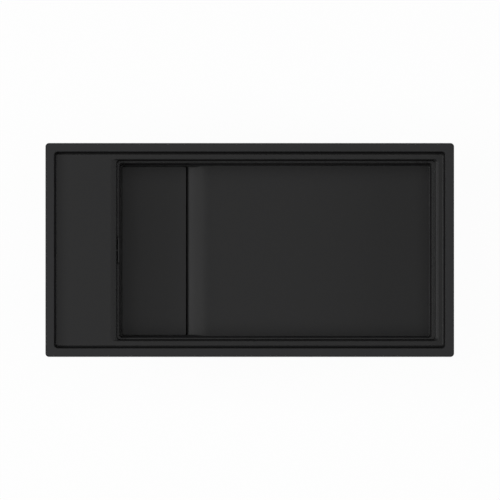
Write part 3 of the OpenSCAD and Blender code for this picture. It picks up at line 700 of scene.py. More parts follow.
def thread_tree():
    """A screw thread's ridge that rises from every point and fades out at its ends."""
    nodes, given = new_tree("thread", Core_radius=0.02, Ridge=0.001, Pitch=0.002, Turns=8.0, Steps=48)
    spiral = nodes.add("GeometryNodeCurveSpiral", inputs={
        "Resolution": given["Steps"], "Rotations": given["Turns"],
        "Start Radius": given["Core radius"], "End Radius": given["Core radius"],
        "Height": given["Pitch"] * given["Turns"]})
    spiral = nodes.add("GeometryNodeSetCurveNormal", {"mode": "Z_UP"}, {0: spiral})
    along = nodes.add("GeometryNodeSplineParameter")
    lead = given["Turns"] * 2
    scale = given["Ridge"] * (along * lead).least(1.0) * ((1 - along) * lead).least(1.0)
    profile = nodes.add("GeometryNodeCurvePrimitiveCircle", inputs={"Resolution": 4, "Radius": 1.0})
    ridge = nodes.add("GeometryNodeCurveToMesh", inputs={
        "Curve": spiral, "Profile Curve": profile, "Scale": scale, "Fill Caps": True})
    copies = nodes.add("GeometryNodeInstanceOnPoints",
                       inputs={"Points": given["Geometry"], "Instance": ridge})
    return close_tree(nodes, copies, given)


def copies_tree():
    """One part repeated on every point."""
    nodes, given = new_tree("copies", Part=None)
    part = nodes.add("GeometryNodeObjectInfo", inputs={0: given["Part"]}, output="Geometry")
    copies = nodes.add("GeometryNodeInstanceOnPoints",
                       inputs={"Points": given["Geometry"], "Instance": part})
    return close_tree(nodes, copies, given)


def ring_of_parts(nodes, given):
    """Copies of a part on a ring round the vertical axis through a centre, each turned outwards."""
    part = nodes.add("GeometryNodeObjectInfo", inputs={0: given["Part"]}, output="Geometry")
    circle = {"Vertices": given["Count"], "Radius": given["Ring radius"]}
    ring = nodes.add("GeometryNodeMeshCircle", inputs=circle)
    where = nodes.add("GeometryNodeInputPosition")
    turn = nodes.add("FunctionNodeAlignRotationToVector", {"axis": "X", "pivot_axis": "Z"},
                     {"Vector": where})
    copies = nodes.add("GeometryNodeInstanceOnPoints",
                       inputs={"Points": ring, "Instance": part, "Rotation": turn})
    copies = nodes.add("GeometryNodeTransform", inputs={0: copies, "Translation": given["Centre"]})
    return nodes.add("GeometryNodeRealizeInstances", inputs={0: copies})


RING = {"Part": None, "Centre": (0.0, 0.0, 0.0), "Count": 8, "Ring_radius": 0.02}


def ring_cut_tree():
    """A ring of holes or slots, each cut with one part."""
    nodes, given = new_tree("ring_cut", **RING)
    tools = ring_of_parts(nodes, given)
    cut = nodes.add("GeometryNodeMeshBoolean", {"operation": "DIFFERENCE", "solver": "EXACT"},
                    {"Mesh 1": given["Geometry"], "Mesh 2": tools})
    return close_tree(nodes, cut, given)


def ring_add_tree():
    """A ring of ribs joined to a part."""
    nodes, given = new_tree("ring_add", **RING)
    ribs = ring_of_parts(nodes, given)
    both = nodes.add("GeometryNodeJoinGeometry", inputs={0: [given["Geometry"], ribs]})
    return close_tree(nodes, both, given)


Opening = namedtuple("Opening", "x0 x1 y r")


def grown(opening, by):
    """The opening, widened on all sides."""
    return Opening(opening.x0 - by, opening.x1 + by, opening.y + by, opening.r + by)


class Wall(namedtuple("Wall", "top foot edge fillet draft")):
    """A wall that goes down from a rounded edge, with a draft, to a fillet."""

    def inset(self):
        """How far the wall's foot lies inside the start of its rounded edge."""
        lean = math.sin(self.draft)
        run = self.top - self.foot - (self.edge + self.fillet) * (1 - lean)
        return (self.edge + self.fillet) * math.cos(self.draft) + run * math.tan(self.draft)

    def steps(self, count):
        """Inset, level and share of the edge's roll done, from the top down."""
        steps = []
        for a in angles(count, 0.0, QUARTER - self.draft):
            done = min(1.0, (1 - math.cos(a)) / ROLL_PART)
            steps.append((self.edge * math.sin(a), self.top - self.edge * (1 - math.cos(a)), done))
        for a in angles(count, self.draft):
            level = self.foot + self.fillet * (1 - math.sin(a))
            steps.append((self.inset() - self.fillet * math.cos(a), level, 1.0))
        return steps


def skin_steps(top, foot, radius, draft, count):
    """The outside of such a wall, with its foot rounded."""
    lean = (top - foot - radius) * math.tan(draft)
    arc = [(lean + aside, foot + up, 1.0) for aside, up in quarter_arc(radius, count, draft)]
    return [(0.0, top, 1.0), *arc]


def wall_rings(opening, steps, least_r, left_roll=0.0, right_roll=0.0):
    """Rings of an opening that follow a wall's steps, with the edges at its ends rolled wider."""
    rings = []
    for inset, level, done in steps:
        x0 = opening.x0 + inset + left_roll * done
        x1 = opening.x1 - inset - right_roll * done
        y, r = opening.y - inset, max(least_r, opening.r - inset)
        rings.append([(px, py, level) for px, py in rectangle_ring(x0, x1, -y, y, r)])
    return rings


class Plan:
    """Levels and wall planes of the moulding, worked out from its sizes and the frame."""

    def __init__(self, s):
        low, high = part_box("sink_bowl")
        self.rim_top = high.z
        self.rim_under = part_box("rim_seal")[1].z
        self.deck_z = self.rim_top - s.upper_drop
        self.ledge_z = self.deck_z - s.lower_drop
        self.floor_z = self.rim_top - s.depth
        self.channel_z = self.floor_z - s.channel_drop
        self.channel_under = low.z
        self.outline = Opening(low.x, high.x, high.y, s.corner)
        self.upper_box = Opening(low.x + s.land, high.x - s.land, high.y - s.land, s.recess_corner)
        self.upper = Wall(self.rim_top, self.deck_z, s.edge, s.upper_fillet, s.upper_draft)
        self.lower = Wall(self.deck_z, self.ledge_z, s.lower_edge, s.lower_fillet, s.lower_draft)
        self.bowl = Wall(self.ledge_z, self.floor_z, s.edge, s.bowl_fillet, s.bowl_draft)
        box, foot = self.upper_box, self.upper.inset() - s.edge
        self.lower_box = Opening(box.x0 + foot + s.deck, box.x1 - foot - s.upper_side,
                                 box.y - foot - s.upper_ledge, s.recess_corner)
        box = self.lower_box
        self.bowl_box = Opening(box.x0 + s.lower_left, box.x1 - s.lower_right,
                                box.y - s.lower_ledge, s.bowl_corner)
        inset = self.bowl.inset() - s.edge
        self.channel_x0 = self.bowl_box.x0 + inset + s.sill
        self.channel_x1 = self.channel_x0 + s.channel
        self.channel_y = self.bowl_box.y - inset - s.sill
        self.drain = ((self.channel_x0 + self.channel_x1) / 2, 0.0)
        self.body_radius = s.waste_hole + BODY_WIDER


def moulding_outside(plan, s, material):
    """Rim, upper recess, lower recess and bowl from outside, one below the other."""
    rim_foot, skin, lower_skin, turns = 0.001, 0.006, 0.004, 8
    rim = [(up, plan.rim_top - aside, 1.0) for aside, up in quarter_arc(s.rim_edge, turns)]
    rim += [(aside, plan.rim_under + up, 1.0) for aside, up in quarter_arc(rim_foot, 4)]
    rings = wall_rings(plan.outline, rim, rim_foot)
    levels = [plan.rim_under] + [z - s.wall for z in (plan.deck_z, plan.ledge_z, plan.floor_z)]
    tiers = [(plan.upper_box, skin, s.upper_draft), (plan.lower_box, lower_skin, s.lower_draft),
             (plan.bowl_box, skin, s.bowl_draft)]
    for (box, radius, draft), top, foot in zip(tiers, levels, levels[1:]):
        steps = skin_steps(top, foot, radius, draft, turns)
        rings += wall_rings(grown(box, s.wall), steps, LEAST_CORNER)
    return loft("moulding", rings, material)


def moulding_inside(plan, s, material):
    """The hollow from above the rim to the bowl's floor."""
    over, tighter, bowl_tighter = 0.005, 0.002, 0.001
    roll, side_roll = s.deck_roll - s.lower_edge, s.side_roll
    corner = s.recess_corner - tighter
    upper = [(0.0, plan.rim_top + over, 0.0), *plan.upper.steps(8)]
    tier = grown(plan.lower_box, s.lower_edge)
    tier = tier._replace(x0=tier.x0 - roll, x1=tier.x1 + side_roll)
    bowl = grown(plan.bowl_box, s.edge)
    rings = wall_rings(grown(plan.upper_box, s.edge), upper, corner)
    rings += wall_rings(tier, plan.lower.steps(12), corner, roll, side_roll)
    rings += wall_rings(bowl, plan.bowl.steps(8), s.bowl_corner - bowl_tighter)
    return loft("hollow", rings, material)


def channel_outside(plan, s, material):
    """The trough below the bowl's floor, from outside."""
    skin, inner, under_floor, draft = 0.006, 0.0006, 0.001, math.radians(0.5)
    box = Opening(plan.channel_x0 - s.wall + inner, plan.channel_x1 + s.wall,
                  plan.channel_y + s.wall - inner, s.bowl_corner + s.wall)
    steps = skin_steps(plan.floor_z - under_floor, plan.channel_under, skin, draft, 8)
    return loft("trough", wall_rings(box, steps, LEAST_CORNER), material)


def channel_inside(plan, s, material):
    """The hollow of the drain channel."""
    over, least_corner = 0.0005, 0.001
    box = Opening(plan.channel_x0, plan.channel_x1, plan.channel_y, s.bowl_corner)
    steps = skin_steps(plan.floor_z + over, plan.channel_z, s.channel_fillet, 0.0, 8)
    return loft("channel", wall_rings(box, steps, least_corner), material)


def fall_space(plan, s, material):
    """The space above the sloping edge, which is part of one large cylinder with filleted sides."""
    over, fillet_share, least_fillet = 0.02, 0.6, 0.0001
    radius = (s.fall ** 2 + s.fall_drop ** 2) / (2 * s.fall_drop)
    end, start, foot = plan.channel_x1 + s.fall, plan.channel_x1, s.slope_foot
    widest = math.asin((s.fall - foot) / radius)
    arc = [(end - radius * math.sin(a), plan.floor_z - radius * (1 - math.cos(a)))
           for a in (widest * (1 - i / 24) for i in range(25))]
    low = arc[0][1]
    rounding = [(start + aside, low - up) for aside, up in quarter_arc(foot, 6)[:-1]]
    below = low - 2 * foot
    rings = []
    for x, level in [(start - s.bowl_corner - OVERCUT, below), (start, below), *rounding, *arc]:
        fillet = min(s.bowl_fillet, max(fillet_share * (plan.floor_z - level), least_fillet))
        ring = rectangle_ring(-plan.channel_y, plan.channel_y, level, plan.floor_z + over, fillet, 8)
        rings.append([(x, y, z) for y, z in ring])
    return loft("fall", rings, material)


def overflow_slot(plan, s, material):
    """Slot with round ends through the wall between the tiers, with its front edge rounded."""
    past = 0.005
    low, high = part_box("overflow_cover")
    middle = (low.z + high.z) / 2
    face = plan.lower_box.x0 + (plan.deck_z - s.lower_edge - middle) * math.tan(s.lower_draft)
    edge = [(face - up, aside) for aside, up in quarter_arc(s.soft_edge, 5)]
    rings = []
    for x, wider in [(plan.lower_box.x0 - s.wall - past, 0.0), *edge, (face + past, s.soft_edge)]:
        w, h = s.slot_w / 2 + wider, s.slot_h / 2 + wider
        rings.append([(x, y, middle + z) for y, z in rectangle_ring(-w, w, -h, h, h - MERGE)])
    return loft("slot", rings, material)


def clamp_places():
    """Axes of the eight clamps, from the frame's joints."""
    return [Vector(j["pos_m"]) for j in frame["joints"] if j["name"].startswith("clamp")]


def pressed_flange(plan, s, material):
    """Flange, cup and conical seat pressed from one sheet, with holes in the cup's floor."""
    lip, dip, under_bend = 0.001, 0.0015, 0.004
    hole_share, ring_share = 0.18, 0.64
    low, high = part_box("waste_flange")
    rim, top, foot, t = (high.x - low.x) / 2, high.z, low.z, s.sheet
    cup, seat_r, seat_top = s.cup_radius, s.cup_radius - s.seat_drop, foot + s.seat_rise
    seat_foot = seat_top - s.seat_drop
    outline = [
        (rim, top - t), (rim, top - t / 2), (rim - lip, top), (cup + s.flange_edge, top),
        (cup, top - t - dip), (cup, seat_top), (seat_r, seat_foot), (seat_r, foot + t),
        (SCREW_HOLE, foot + t), (SCREW_HOLE, foot), (seat_r + t, foot),
        (seat_r + t, seat_foot - t / 2), (cup + t, seat_top - t / 2),
        (cup + t, top - t - dip - t / 2), (cup + under_bend, top - t),
    ]
    flange = turned("flange_shell", filleted(outline, s.bend), 128, material, plan.drain)
    drill = upright("drill", seat_r * hole_share, (0.0, 0.0), foot - t, foot + 2 * t, 32)
    run_tree(flange, ring_cut_tree(), material, Part=drill, Centre=(*plan.drain, 0.0),
             Count=s.cup_holes, Ring_radius=seat_r * ring_share)
    drop(drill)
    return smooth(flange)


def hub_webs(plan, s, reach, low, high, material):
    """Two plates across the body that make the four webs of its hub."""
    webs = []
    for k in range(2):
        ring = rectangle_ring(-reach, reach, -s.hub_web / 2, s.hub_web / 2, s.hub_web / 4, 6)
        web = loft("web", [[(x, y, z) for x, y in ring] for z in (high, low)], material)
        turn = Matrix.Rotation(QUARTER * (k + 0.5), 4, "Z")
        web.data.transform(Matrix.Translation((*plan.drain, 0.0)) @ turn)
        webs.append(web)
    return webs


def waste_body(plan, s, material):
    """Plastic body with a lip, a taper, an outlet, a hub on four webs and an overflow port."""
    fillet, shoulder, run_in, port_gap, web_gap = 0.0012, 0.003, 0.001, 0.0015, 0.008
    neck, neck_bend, neck_drop = 0.002, 0.0015, 0.004
    low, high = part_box("waste_body")
    lip, lip_foot, top, foot = high.y, high.z - s.body_lip, high.z, low.z
    outlet_top = foot + s.outlet
    taper_top = outlet_top + s.taper
    core, bore = s.outlet_radius - OUTLET_RIDGE, s.outlet_radius - s.outlet_wall
    radius, inner = plan.body_radius, plan.body_radius - s.body_wall
    outline = [
        (inner, top), (lip, top), (lip, lip_foot), (radius + neck, lip_foot - neck_bend),
        (radius, lip_foot - neck_drop), (radius, taper_top),
        (s.outlet_radius + shoulder, outlet_top), (core, outlet_top - run_in),
        (core, foot), (bore, foot), (bore, outlet_top), (inner, taper_top),
    ]
    body = turned("waste_shell", filleted(outline, fillet), 128, material, plan.drain)
    x, y = plan.drain
    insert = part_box("body_insert")
    hub_foot, hub_top = insert[0].z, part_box("waste_flange")[0].z
    port_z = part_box("overflow_hose")[0].z + s.hose_rib
    start, end = (low.x, y, port_z), (x - inner - port_gap, y, port_z)
    tube = rod("port", s.port_radius, start, end, 64, material)
    hub = upright("hub", s.hub_radius, plan.drain, hub_foot, hub_top, 64, material)
    webs = hub_webs(plan, s, inner + OVERCUT, hub_foot, hub_top - web_gap, material)
    carve(body, "UNION", tube, hub, *webs)
    start, end = (low.x - OVERCUT, y, port_z), (x - inner + OVERCUT, y, port_z)
    passage = rod("bore", s.port_bore, start, end, 48, material)
    thread = upright("thread", (insert[1].x - insert[0].x) / 2, plan.drain, hub_foot - OVERCUT,
                     hub_top + OVERCUT, 64, material)
    carve(body, "DIFFERENCE", passage, thread)
    return soften(body, s.bevel, sharp=40.0)


def outlet_thread(plan, s, material):
    """The pipe thread on the outlet."""
    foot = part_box("waste_body")[0].z
    start = foot + s.outlet_pitch
    turns = math.floor((s.outlet - 3 * s.outlet_pitch) / s.outlet_pitch)
    thread = new_object("outlet_thread", [(*plan.drain, start)], [], [])
    run_tree(thread, thread_tree(), material, Core_radius=s.outlet_radius - OUTLET_RIDGE,
             Ridge=OUTLET_RIDGE, Pitch=s.outlet_pitch, Turns=float(turns), Steps=96)
    return smooth(thread)


def basket(plan, s, material):
    """Strainer basket with a rolled lip, rings of holes and slots in its wall."""
    low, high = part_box("strainer_basket")
    gap, roll, neck, skirt, below_lip, reach = 0.004, 0.001, 0.002, 0.005, 0.004, 0.006
    inside, inside_floor, overhang = 0.0056, 0.0004, 0.003
    rim, lip, foot, t = (high.y - low.y) / 2, high.z, low.z, s.basket_sheet
    floor, wall = s.cup_radius - s.seat_drop - gap, rim - overhang
    outline = [
        (s.stem, foot), (floor, foot), (wall, foot + skirt), (rim - neck, lip - 2 * t),
        (rim, lip - 1.5 * t), (rim, lip - t / 2), (rim - roll, lip), (wall, lip - t),
        (wall - t, foot + inside), (floor - inside_floor, foot + t), (s.stem, foot + t),
    ]
    cup = turned("basket_shell", filleted(outline, s.bend), 144, material, plan.drain)
    centre = (*plan.drain, 0.0)
    drill = upright("drill", s.hole, (0.0, 0.0), foot - t, foot + 2 * t, 20)
    for turn in (1, 2, 3):
        run_tree(cup, ring_cut_tree(), material, Part=drill, Centre=centre, Count=6 * turn,
                 Ring_radius=s.hole_in + s.hole_step * turn)
    half = s.slot_wide / 2
    level = lip - t - below_lip - s.slot_tall / 2
    ring = rectangle_ring(-half, half, -s.slot_tall / 2, s.slot_tall / 2, half - MERGE, 6)
    slot = loft("slot", [[(x, y, level + z) for y, z in ring] for x in (-reach, reach)])
    run_tree(cup, ring_cut_tree(), material, Part=slot, Centre=centre, Count=s.slots,
             Ring_radius=wall)
    drop(drill, slot)
    return smooth(cup)


def knob(plan, s, material):
    """Knob, stem and collar turned from one bar."""
    low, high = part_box("strainer_knob")
    tip, edge, flat, slope, under, waist = 0.0005, 0.001, 0.002, 0.003, 0.004, 0.009
    radius, top, foot = (high.x - low.x) / 2, high.z, low.z
    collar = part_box("strainer_basket")[0].z + s.basket_sheet
    outline = [
        (0.0, foot), (s.stem - tip, foot), (s.stem, foot + edge), (s.stem, collar),
        (s.stem * 2, collar), (s.stem * 2, collar + flat), (s.stem, collar + slope),
        (s.stem, top - waist), (radius - flat, top - under), (radius, top - slope),
        (radius, top - edge), (radius - edge, top), (0.0, top),
    ]
    return smooth(turned("knob_turned", filleted(outline, s.bend, 6), 96, material, plan.drain))


def cross_screw(s, material):
    """Countersunk screw with a cross recess in its head."""
    deep, over, narrow = 0.0011, 0.001, s.cross / 5
    screw = copied("overflow_screw", "cover_screw", material, s.bevel / 2)
    low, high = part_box("overflow_screw")
    y, z = (low.y + high.y) / 2, (low.z + high.z) / 2
    arms = []
    for wide, tall in ((s.cross, narrow), (narrow, s.cross)):
        rings = [[(x, y + a, z + b) for a, b in corners(wide, tall)]
                 for x in (high.x - deep, high.x + over)]
        arms.append(loft("cross", rings, material))
    carve(screw, "DIFFERENCE", *arms)
    return smooth(screw)


def hose_path(low, high, s):
    """Middle line of the hose: down, round a quarter turn and along to the port."""
    x0, z0 = low.x + s.hose_rib, low.z + s.hose_rib
    bend = [(x0 + aside, 0.0, z0 + up) for aside, up in quarter_arc(s.hose_bend, 48)]
    return [(x0, 0.0, high.z), *bend, (high.x, 0.0, z0)]


def hose_nuts(low, high, s, material):
    """The ribbed union nuts at the hose's two ends."""
    r, top, foot, stop = s.nut_radius, s.nut_over, s.nut_over - s.nut, 0.002
    gap, chamfer, edge, fillet = 0.0003, 0.0015, 0.0005, 0.0006
    rib_r, rib_proud, rib_start, rib_end = 0.0009, 0.0001, 0.001, 0.002
    mouth = s.hose_root + gap
    outline = filleted([
        (mouth, top), (r - chamfer, top), (r, top - chamfer), (r, foot + edge),
        (r - edge, foot), (s.port_radius, foot), (s.port_radius, stop), (mouth, stop),
    ], fillet)
    rib = upright("rib", rib_r, (0.0, 0.0), foot + rib_start, top - rib_end, 12)
    nuts = []
    places = [(Vector((low.x + s.hose_rib, 0.0, high.z)), Matrix.Rotation(math.pi, 4, "X")),
              (Vector((high.x, 0.0, low.z + s.hose_rib)), Matrix.Rotation(-QUARTER, 4, "Y"))]
    for spot, turn in places:
        nut = turned("nut", outline, 96, material)
        run_tree(nut, ring_add_tree(), material, Part=rib, Count=s.nut_ribs,
                 Ring_radius=r + rib_proud)
        nut.data.transform(Matrix.Translation(spot) @ turn)
        nuts.append(nut)
    drop(rib)
    return smooth(joined("union_nuts", nuts, material))


def clamp_bolt(height, s, material):
    """One clamp screw, standing on the origin: a head with a hexagon socket and a core."""
    head_over, point, point_in, fillet, socket_deep = 0.002, 0.001, 0.0008, 0.0004, 0.002
    core, head = s.screw - THREAD_DEEP, s.screw + head_over
    neck = s.screw_head + s.screw_pitch
    outline = [
        (0.0, 0.0), (head, 0.0), (head, s.screw_head), (s.screw, s.screw_head), (s.screw, neck),
        (core, neck + THREAD_DEEP), (core, height - point), (core - point_in, height), (0.0, height),
    ]
    bolt = turned("bolt", filleted(outline, fillet), 48, material)
    hexagon = upright("hexagon", s.socket, (0.0, 0.0), -OVERCUT, socket_deep, 6, material)
    return carve(bolt, "DIFFERENCE", hexagon)


class SINK_OT_moulding(bpy.types.Operator):
    """Build the one-piece bowl with its deck, ledges, channel and bosses"""

    bl_idname = "sink.moulding"
    bl_label = "Moulded bowl"

    def execute(self, context):
        looks, s = context.scene.sink_finishes, context.scene.sink_moulding
        face = composite_finish("composite", looks.composite, looks.grain)
        back = composite_finish("composite_back", looks.composite_back, looks.grain,
                                roughness=0.75, relief=0.00008)
        plan = Plan(s)
        bowl = moulding_outside(plan, s, back)
        foot, top = plan.deck_z - s.wall - s.boss_drop, plan.deck_z - s.wall / 2
        outline = filleted([(0.0, foot), (s.boss, foot), (s.boss, top), (0.0, top)], s.soft_edge)
        bosses = [turned("boss", outline, 48, back, spot.xy) for spot in clamp_places()]
        carve(bowl, "UNION", channel_outside(plan, s, back), *bosses)
        drill = upright("drill", s.waste_hole, plan.drain, plan.channel_under - OVERCUT,
                        plan.channel_z + OVERCUT, 96, face)
        carve(bowl, "DIFFERENCE", moulding_inside(plan, s, face), channel_inside(plan, s, face),
              fall_space(plan, s, face), drill, overflow_slot(plan, s, face))
        low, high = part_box("clamp_inserts")
        radius = high.y - max(p.y for p in clamp_places())
        for spot in clamp_places():
            hole = upright("hole", radius, spot.xy, low.z - OVERCUT, high.z + OVERCUT, 32, back)
            carve(bowl, "DIFFERENCE", hole)
        smooth(bowl, sharp=32.0)
        place(bowl, "sink", "composite", "sink_bowl")
        return {"FINISHED"}


class SINK_OT_drain_cover(bpy.types.Operator):
    """Build the lift-out cover with its legs, ribs and rubber feet"""

    bl_idname = "sink.drain_cover"
    bl_label = "Drain cover"

    def execute(self, context):
        looks, s = context.scene.sink_finishes, context.scene.sink_fittings
        paint = composite_finish("cover_composite", looks.composite, looks.grain)
        dress("drain_cover", "cover_plate", paint, s.bevel, "cover", "composite")
        rubber = rubber_finish("feet_rubber", looks.rubber)
        dress("cover_feet", "cover_foot_pads", rubber, s.bevel, "cover", "rubber")
        return {"FINISHED"}


class SINK_OT_seals(bpy.types.Operator):
    """Build the seals under the rim and round the waste"""

    bl_idname = "sink.seals"
    bl_label = "Seals"

    def execute(self, context):
        rubber = rubber_finish("seal_rubber", context.scene.sink_finishes.rubber)
        bevel = context.scene.sink_fittings.bevel
        for node in ("rim_seal", "flange_seal", "body_gasket"):
            dress(node, node + "_ring", rubber, bevel, "sink", "rubber")
        return {"FINISHED"}


class SINK_OT_waste(bpy.types.Operator):
    """Build the pressed flange, the plastic body with its thread, and the centre screw"""

    bl_idname = "sink.waste"
    bl_label = "Waste"

    def execute(self, context):
        looks, s = context.scene.sink_finishes, context.scene.sink_fittings
        plan = Plan(context.scene.sink_moulding)
        centre = (*plan.drain, 0.0)
        steel = turned_steel_finish("flange_steel", looks.steel, centre, roughness=0.28)
        place(pressed_flange(plan, s, steel), "sink", "stainless_steel", "waste_flange")
        plastic = moulded_plastic_finish("body_plastic", looks.plastic, roughness=0.42)
        place(waste_body(plan, s, plastic), "sink", "waste_plastic", "waste_body")
        place(outlet_thread(plan, s, plastic), "sink", "waste_plastic")
        brass = brass_finish("insert_brass", looks.brass)
        dress("body_insert", "body_insert_thread", brass, s.bevel, "sink", "brass")
        bright = turned_steel_finish("screw_steel", looks.steel, centre, roughness=0.3)
        dress("centre_screw", "hollow_screw", bright, s.bevel, "sink", "stainless_steel")
        return {"FINISHED"}


class SINK_OT_strainer(bpy.types.Operator):
    """Build the perforated basket with its seal and knob"""

    bl_idname = "sink.strainer"
    bl_label = "Strainer"

    def execute(self, context):
        looks, s = context.scene.sink_finishes, context.scene.sink_fittings
        plan = Plan(context.scene.sink_moulding)
        centre = (*plan.drain, 0.0)
        steel = turned_steel_finish("basket_steel", looks.steel, centre, roughness=0.24)
        place(basket(plan, s, steel), "strainer", "stainless_steel", "strainer_basket")
        rubber = rubber_finish("basket_rubber", looks.rubber)
        dress("basket_seal", "basket_seal_ring", rubber, s.bevel, "strainer", "rubber")
        bright = turned_steel_finish("knob_steel", looks.steel, centre, roughness=0.2)
        place(knob(plan, s, bright), "strainer", "stainless_steel", "strainer_knob")
        return {"FINISHED"}


class SINK_OT_overflow(bpy.types.Operator):
    """Build the overflow's cover, screw, gasket and housing"""

    bl_idname = "sink.overflow"
    bl_label = "Overflow"

    def execute(self, context):
        looks, s = context.scene.sink_finishes, context.scene.sink_fittings
        paint = composite_finish("overflow_composite", looks.composite, looks.grain)
        dress("overflow_cover", "overflow_plate", paint, s.bevel, "sink", "composite")
        zinc = zinc_finish("overflow_zinc", looks.black_zinc)
        place(cross_screw(s, zinc), "sink", "plated_steel", "overflow_screw")
        rubber = rubber_finish("overflow_rubber", looks.rubber)
        dress("overflow_gasket", "overflow_gasket_frame", rubber, s.bevel, "sink", "rubber")
        plastic = moulded_plastic_finish("housing_plastic", looks.plastic, roughness=0.42)
        dress("overflow_housing", "overflow_funnel", plastic, s.bevel, "sink", "waste_plastic")
        return {"FINISHED"}


class SINK_OT_hose(bpy.types.Operator):
    """Build the ribbed hose with its nuts and sealing rings"""

    bl_idname = "sink.hose"
    bl_label = "Overflow hose"

    def execute(self, context):
        looks, s = context.scene.sink_finishes, context.scene.sink_fittings
        plastic = moulded_plastic_finish("hose_plastic", looks.hose, roughness=0.5)
        low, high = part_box("overflow_hose")
        path = hose_path(low, high, s)
        edges = [(i, i + 1) for i in range(len(path) - 1)]
        hose = new_object("ribbed_hose", path, edges, [])
        run_tree(hose, ribbed_tube_tree(), plastic, Pitch=s.rib_pitch, Rib_radius=s.hose_rib,
                 Root_radius=s.hose_root, Cuff=s.hose_cuff)
        shell = hose.modifiers.new("wall", "SOLIDIFY")
        shell.thickness = s.hose_wall
        shell.offset = -1.0
        smooth(settle(hose), sharp=60.0)
        place(hose, "sink", "hose_plastic", "overflow_hose")
        nut_paint = moulded_plastic_finish("nut_plastic", looks.plastic, roughness=0.38)
        place(hose_nuts(low, high, s, nut_paint), "sink", "waste_plastic", "hose_nuts")
        rubber = rubber_finish("hose_rubber", looks.rubber)
        dress("hose_seals", "hose_seal_rings", rubber, s.bevel, "sink", "rubber")
        return {"FINISHED"}


class SINK_OT_clamps(bpy.types.Operator):
    """Build the eight clamps with their screws and inserts"""

    bl_idname = "sink.clamps"
    bl_label = "Clamps"

    def execute(self, context):
        looks, s = context.scene.sink_finishes, context.scene.sink_fittings
        zinc = zinc_finish("clamp_zinc", looks.zinc)
        for k in range(len(clamp_places())):
            name = f"clamp_{k + 1}"
            dress(name, name + "_arm", zinc, s.bevel, name, "plated_steel")
        screw_paint = zinc_finish("screw_zinc", looks.zinc)
        low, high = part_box("clamp_screws")
        heads = new_object("clamp_bolts", [(*p.xy, low.z) for p in clamp_places()], [], [])
        bolt = clamp_bolt(high.z - low.z, s, screw_paint)
        run_tree(heads, copies_tree(), screw_paint, Part=bolt)
        drop(bolt)
        place(smooth(heads, sharp=35.0), "sink", "plated_steel", "clamp_screws")
        start = low.z + s.screw_head + s.screw_pitch
        thread = new_object("clamp_threads", [(*p.xy, start) for p in clamp_places()], [], [])
        turns = (high.z - start) / s.screw_pitch - 2
        run_tree(thread, thread_tree(), screw_paint, Core_radius=s.screw - THREAD_DEEP, Steps=20,
                 Ridge=THREAD_DEEP, Pitch=s.screw_pitch, Turns=turns)
        place(thread, "sink", "plated_steel")
        brass = brass_finish("clamp_brass", looks.brass)
        dress("clamp_inserts", "clamp_threads_brass", brass, s.bevel, "sink", "brass")
        return {"FINISHED"}


class SINK_OT_stage(bpy.types.Operator):
    """Set the camera, the lamps, the floor and the backdrop"""

    bl_idname = "sink.stage"
    bl_label = "Stage"

    def execute(self, context):
        scene, studio = context.scene, context.scene.sink_studio
        scene.view_settings.view_transform = "Standard"
        view = bpy.data.cameras.new("camera")
        view.type = "ORTHO"
        view.ortho_scale = studio.view_width
        camera = add_object("camera", view)
        lean, roll = studio.view_lean, studio.view_side_lean
        aside = studio.view_shift + VIEW_HEIGHT * math.tan(roll)
        camera.location = (aside, -VIEW_HEIGHT * math.tan(lean), VIEW_HEIGHT)
        camera.rotation_euler = (lean, roll, 0.0)
        scene.camera = camera
        ring = [(x, y, cad_box[0].z) for x, y in corners(FLOOR_WIDTH, FLOOR_WIDTH)]
        floor = new_object("floor", ring, [], [[0, 1, 2, 3]], floor_finish(studio.floor_white))
        light_world(scene, studio.fill)
        # Name, tilt and turn in degrees, width as a share of the distance, and share of the light.
        for name, tilt, turn, width, level in (
                ("overhead_lamp", 0, 0, 0.70, studio.overhead),
                ("high_left_lamp", 25, 180, 0.33, studio.left_high),
                ("left_lamp", 45, 180, 0.36, studio.left),
                ("right_lamp", 50, 0, 0.44, studio.right)):
            lamp(name, math.radians(tilt), math.radians(turn), studio.reach, width, level)
        return {"FINISHED"}


def floor_finish(white_share):
    """Pale floor: plain white to the eye, with the object's shadow kept on it."""
    pale = (0.82, 0.82, 0.82)
    paint = Finish("floor")
    base = paint.tinted(pale, 0.99 + 0.02 * paint.noise(0.4))
    matt = paint.add("ShaderNodeBsdfDiffuse", inputs={"Color": base})
    white = paint.add("ShaderNodeEmission", inputs={"Strength": 1.0})
    seen, mirrored, through = [paint.add("ShaderNodeLightPath", output=f"Is {kind} Ray")
                               for kind in ("Camera", "Glossy", "Transmission")]
    amount = seen.most(mirrored).most(through) * white_share
    shader = paint.add("ShaderNodeMixShader", inputs={0: amount, 1: matt, 2: white})
    paint.add("ShaderNodeOutputMaterial", inputs={"Surface": shader})
    return paint.material


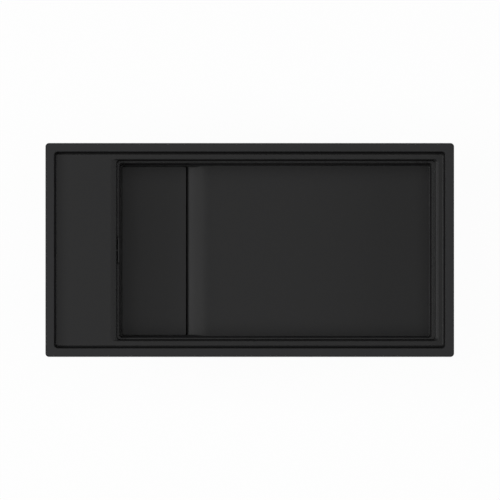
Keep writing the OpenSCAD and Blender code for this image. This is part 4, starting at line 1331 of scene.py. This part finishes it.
def light_world(scene, fill):
    """Even light from all round, which the camera itself would see as plain white."""
    world = bpy.data.worlds.new("world")
    world.use_nodes = True
    scene.world = world
    nodes = Nodes(world.node_tree)
    world.node_tree.nodes.clear()
    seen = nodes.add("ShaderNodeLightPath", output="Is Camera Ray")
    level = seen * (1 - fill) + fill
    shader = nodes.add("ShaderNodeBackground", inputs={"Strength": level})
    nodes.add("ShaderNodeOutputWorld", inputs={"Surface": shader})


def lamp(name, tilt, turn, reach, width, level):
    """A softbox that faces the sink and lights a level face to a share of full light."""
    light = bpy.data.lights.new(name, "AREA")
    light.size = width * reach
    out = reach * math.sin(tilt)
    spot = Vector((out * math.cos(turn), out * math.sin(turn), reach * math.cos(tilt)))
    made = add_object(name, light)
    made.location = spot
    made.rotation_euler = spot.to_track_quat("Z", "Y").to_euler()
    made.visible_camera = False
    light.energy = level * (math.pi * reach) ** 2 / math.cos(tilt)


class SINK_PT_panel(bpy.types.Panel):
    """Lists the steps that build the sink"""

    bl_idname = "SINK_PT_panel"
    bl_label = "Composite sink"
    bl_space_type = "VIEW_3D"
    bl_region_type = "UI"
    bl_category = "Sink"

    def draw(self, context):
        for step in STEPS:
            self.layout.operator(step.bl_idname)
        for group in GROUPS:
            settings = getattr(context.scene, group)
            for name in settings.bl_rna.properties.keys():
                if name not in ("rna_type", "name"):
                    self.layout.prop(settings, name)


GROUPS = {
    "sink_moulding": MouldingSizes,
    "sink_fittings": FittingSizes,
    "sink_finishes": Finishes,
    "sink_studio": StudioSettings,
}
STEPS = [SINK_OT_moulding, SINK_OT_drain_cover, SINK_OT_seals, SINK_OT_waste, SINK_OT_strainer,
         SINK_OT_overflow, SINK_OT_hose, SINK_OT_clamps, SINK_OT_stage]
CLASSES = [*GROUPS.values(), *STEPS, SINK_PT_panel]


def register():
    """Adds the settings, the steps and the panel to Blender."""
    for kind in CLASSES:
        bpy.utils.register_class(kind)
    for name, settings in GROUPS.items():
        setattr(bpy.types.Scene, name, PointerProperty(type=settings))


def unregister():
    """Takes them out again."""
    for name in GROUPS:
        delattr(bpy.types.Scene, name)
    for kind in reversed(CLASSES):
        bpy.utils.unregister_class(kind)


def main():
    """Builds every piece in order."""
    register()
    for step in STEPS:
        group, name = step.bl_idname.split(".")
        getattr(getattr(bpy.ops, group), name)()


if __name__ == "__main__":
    main()
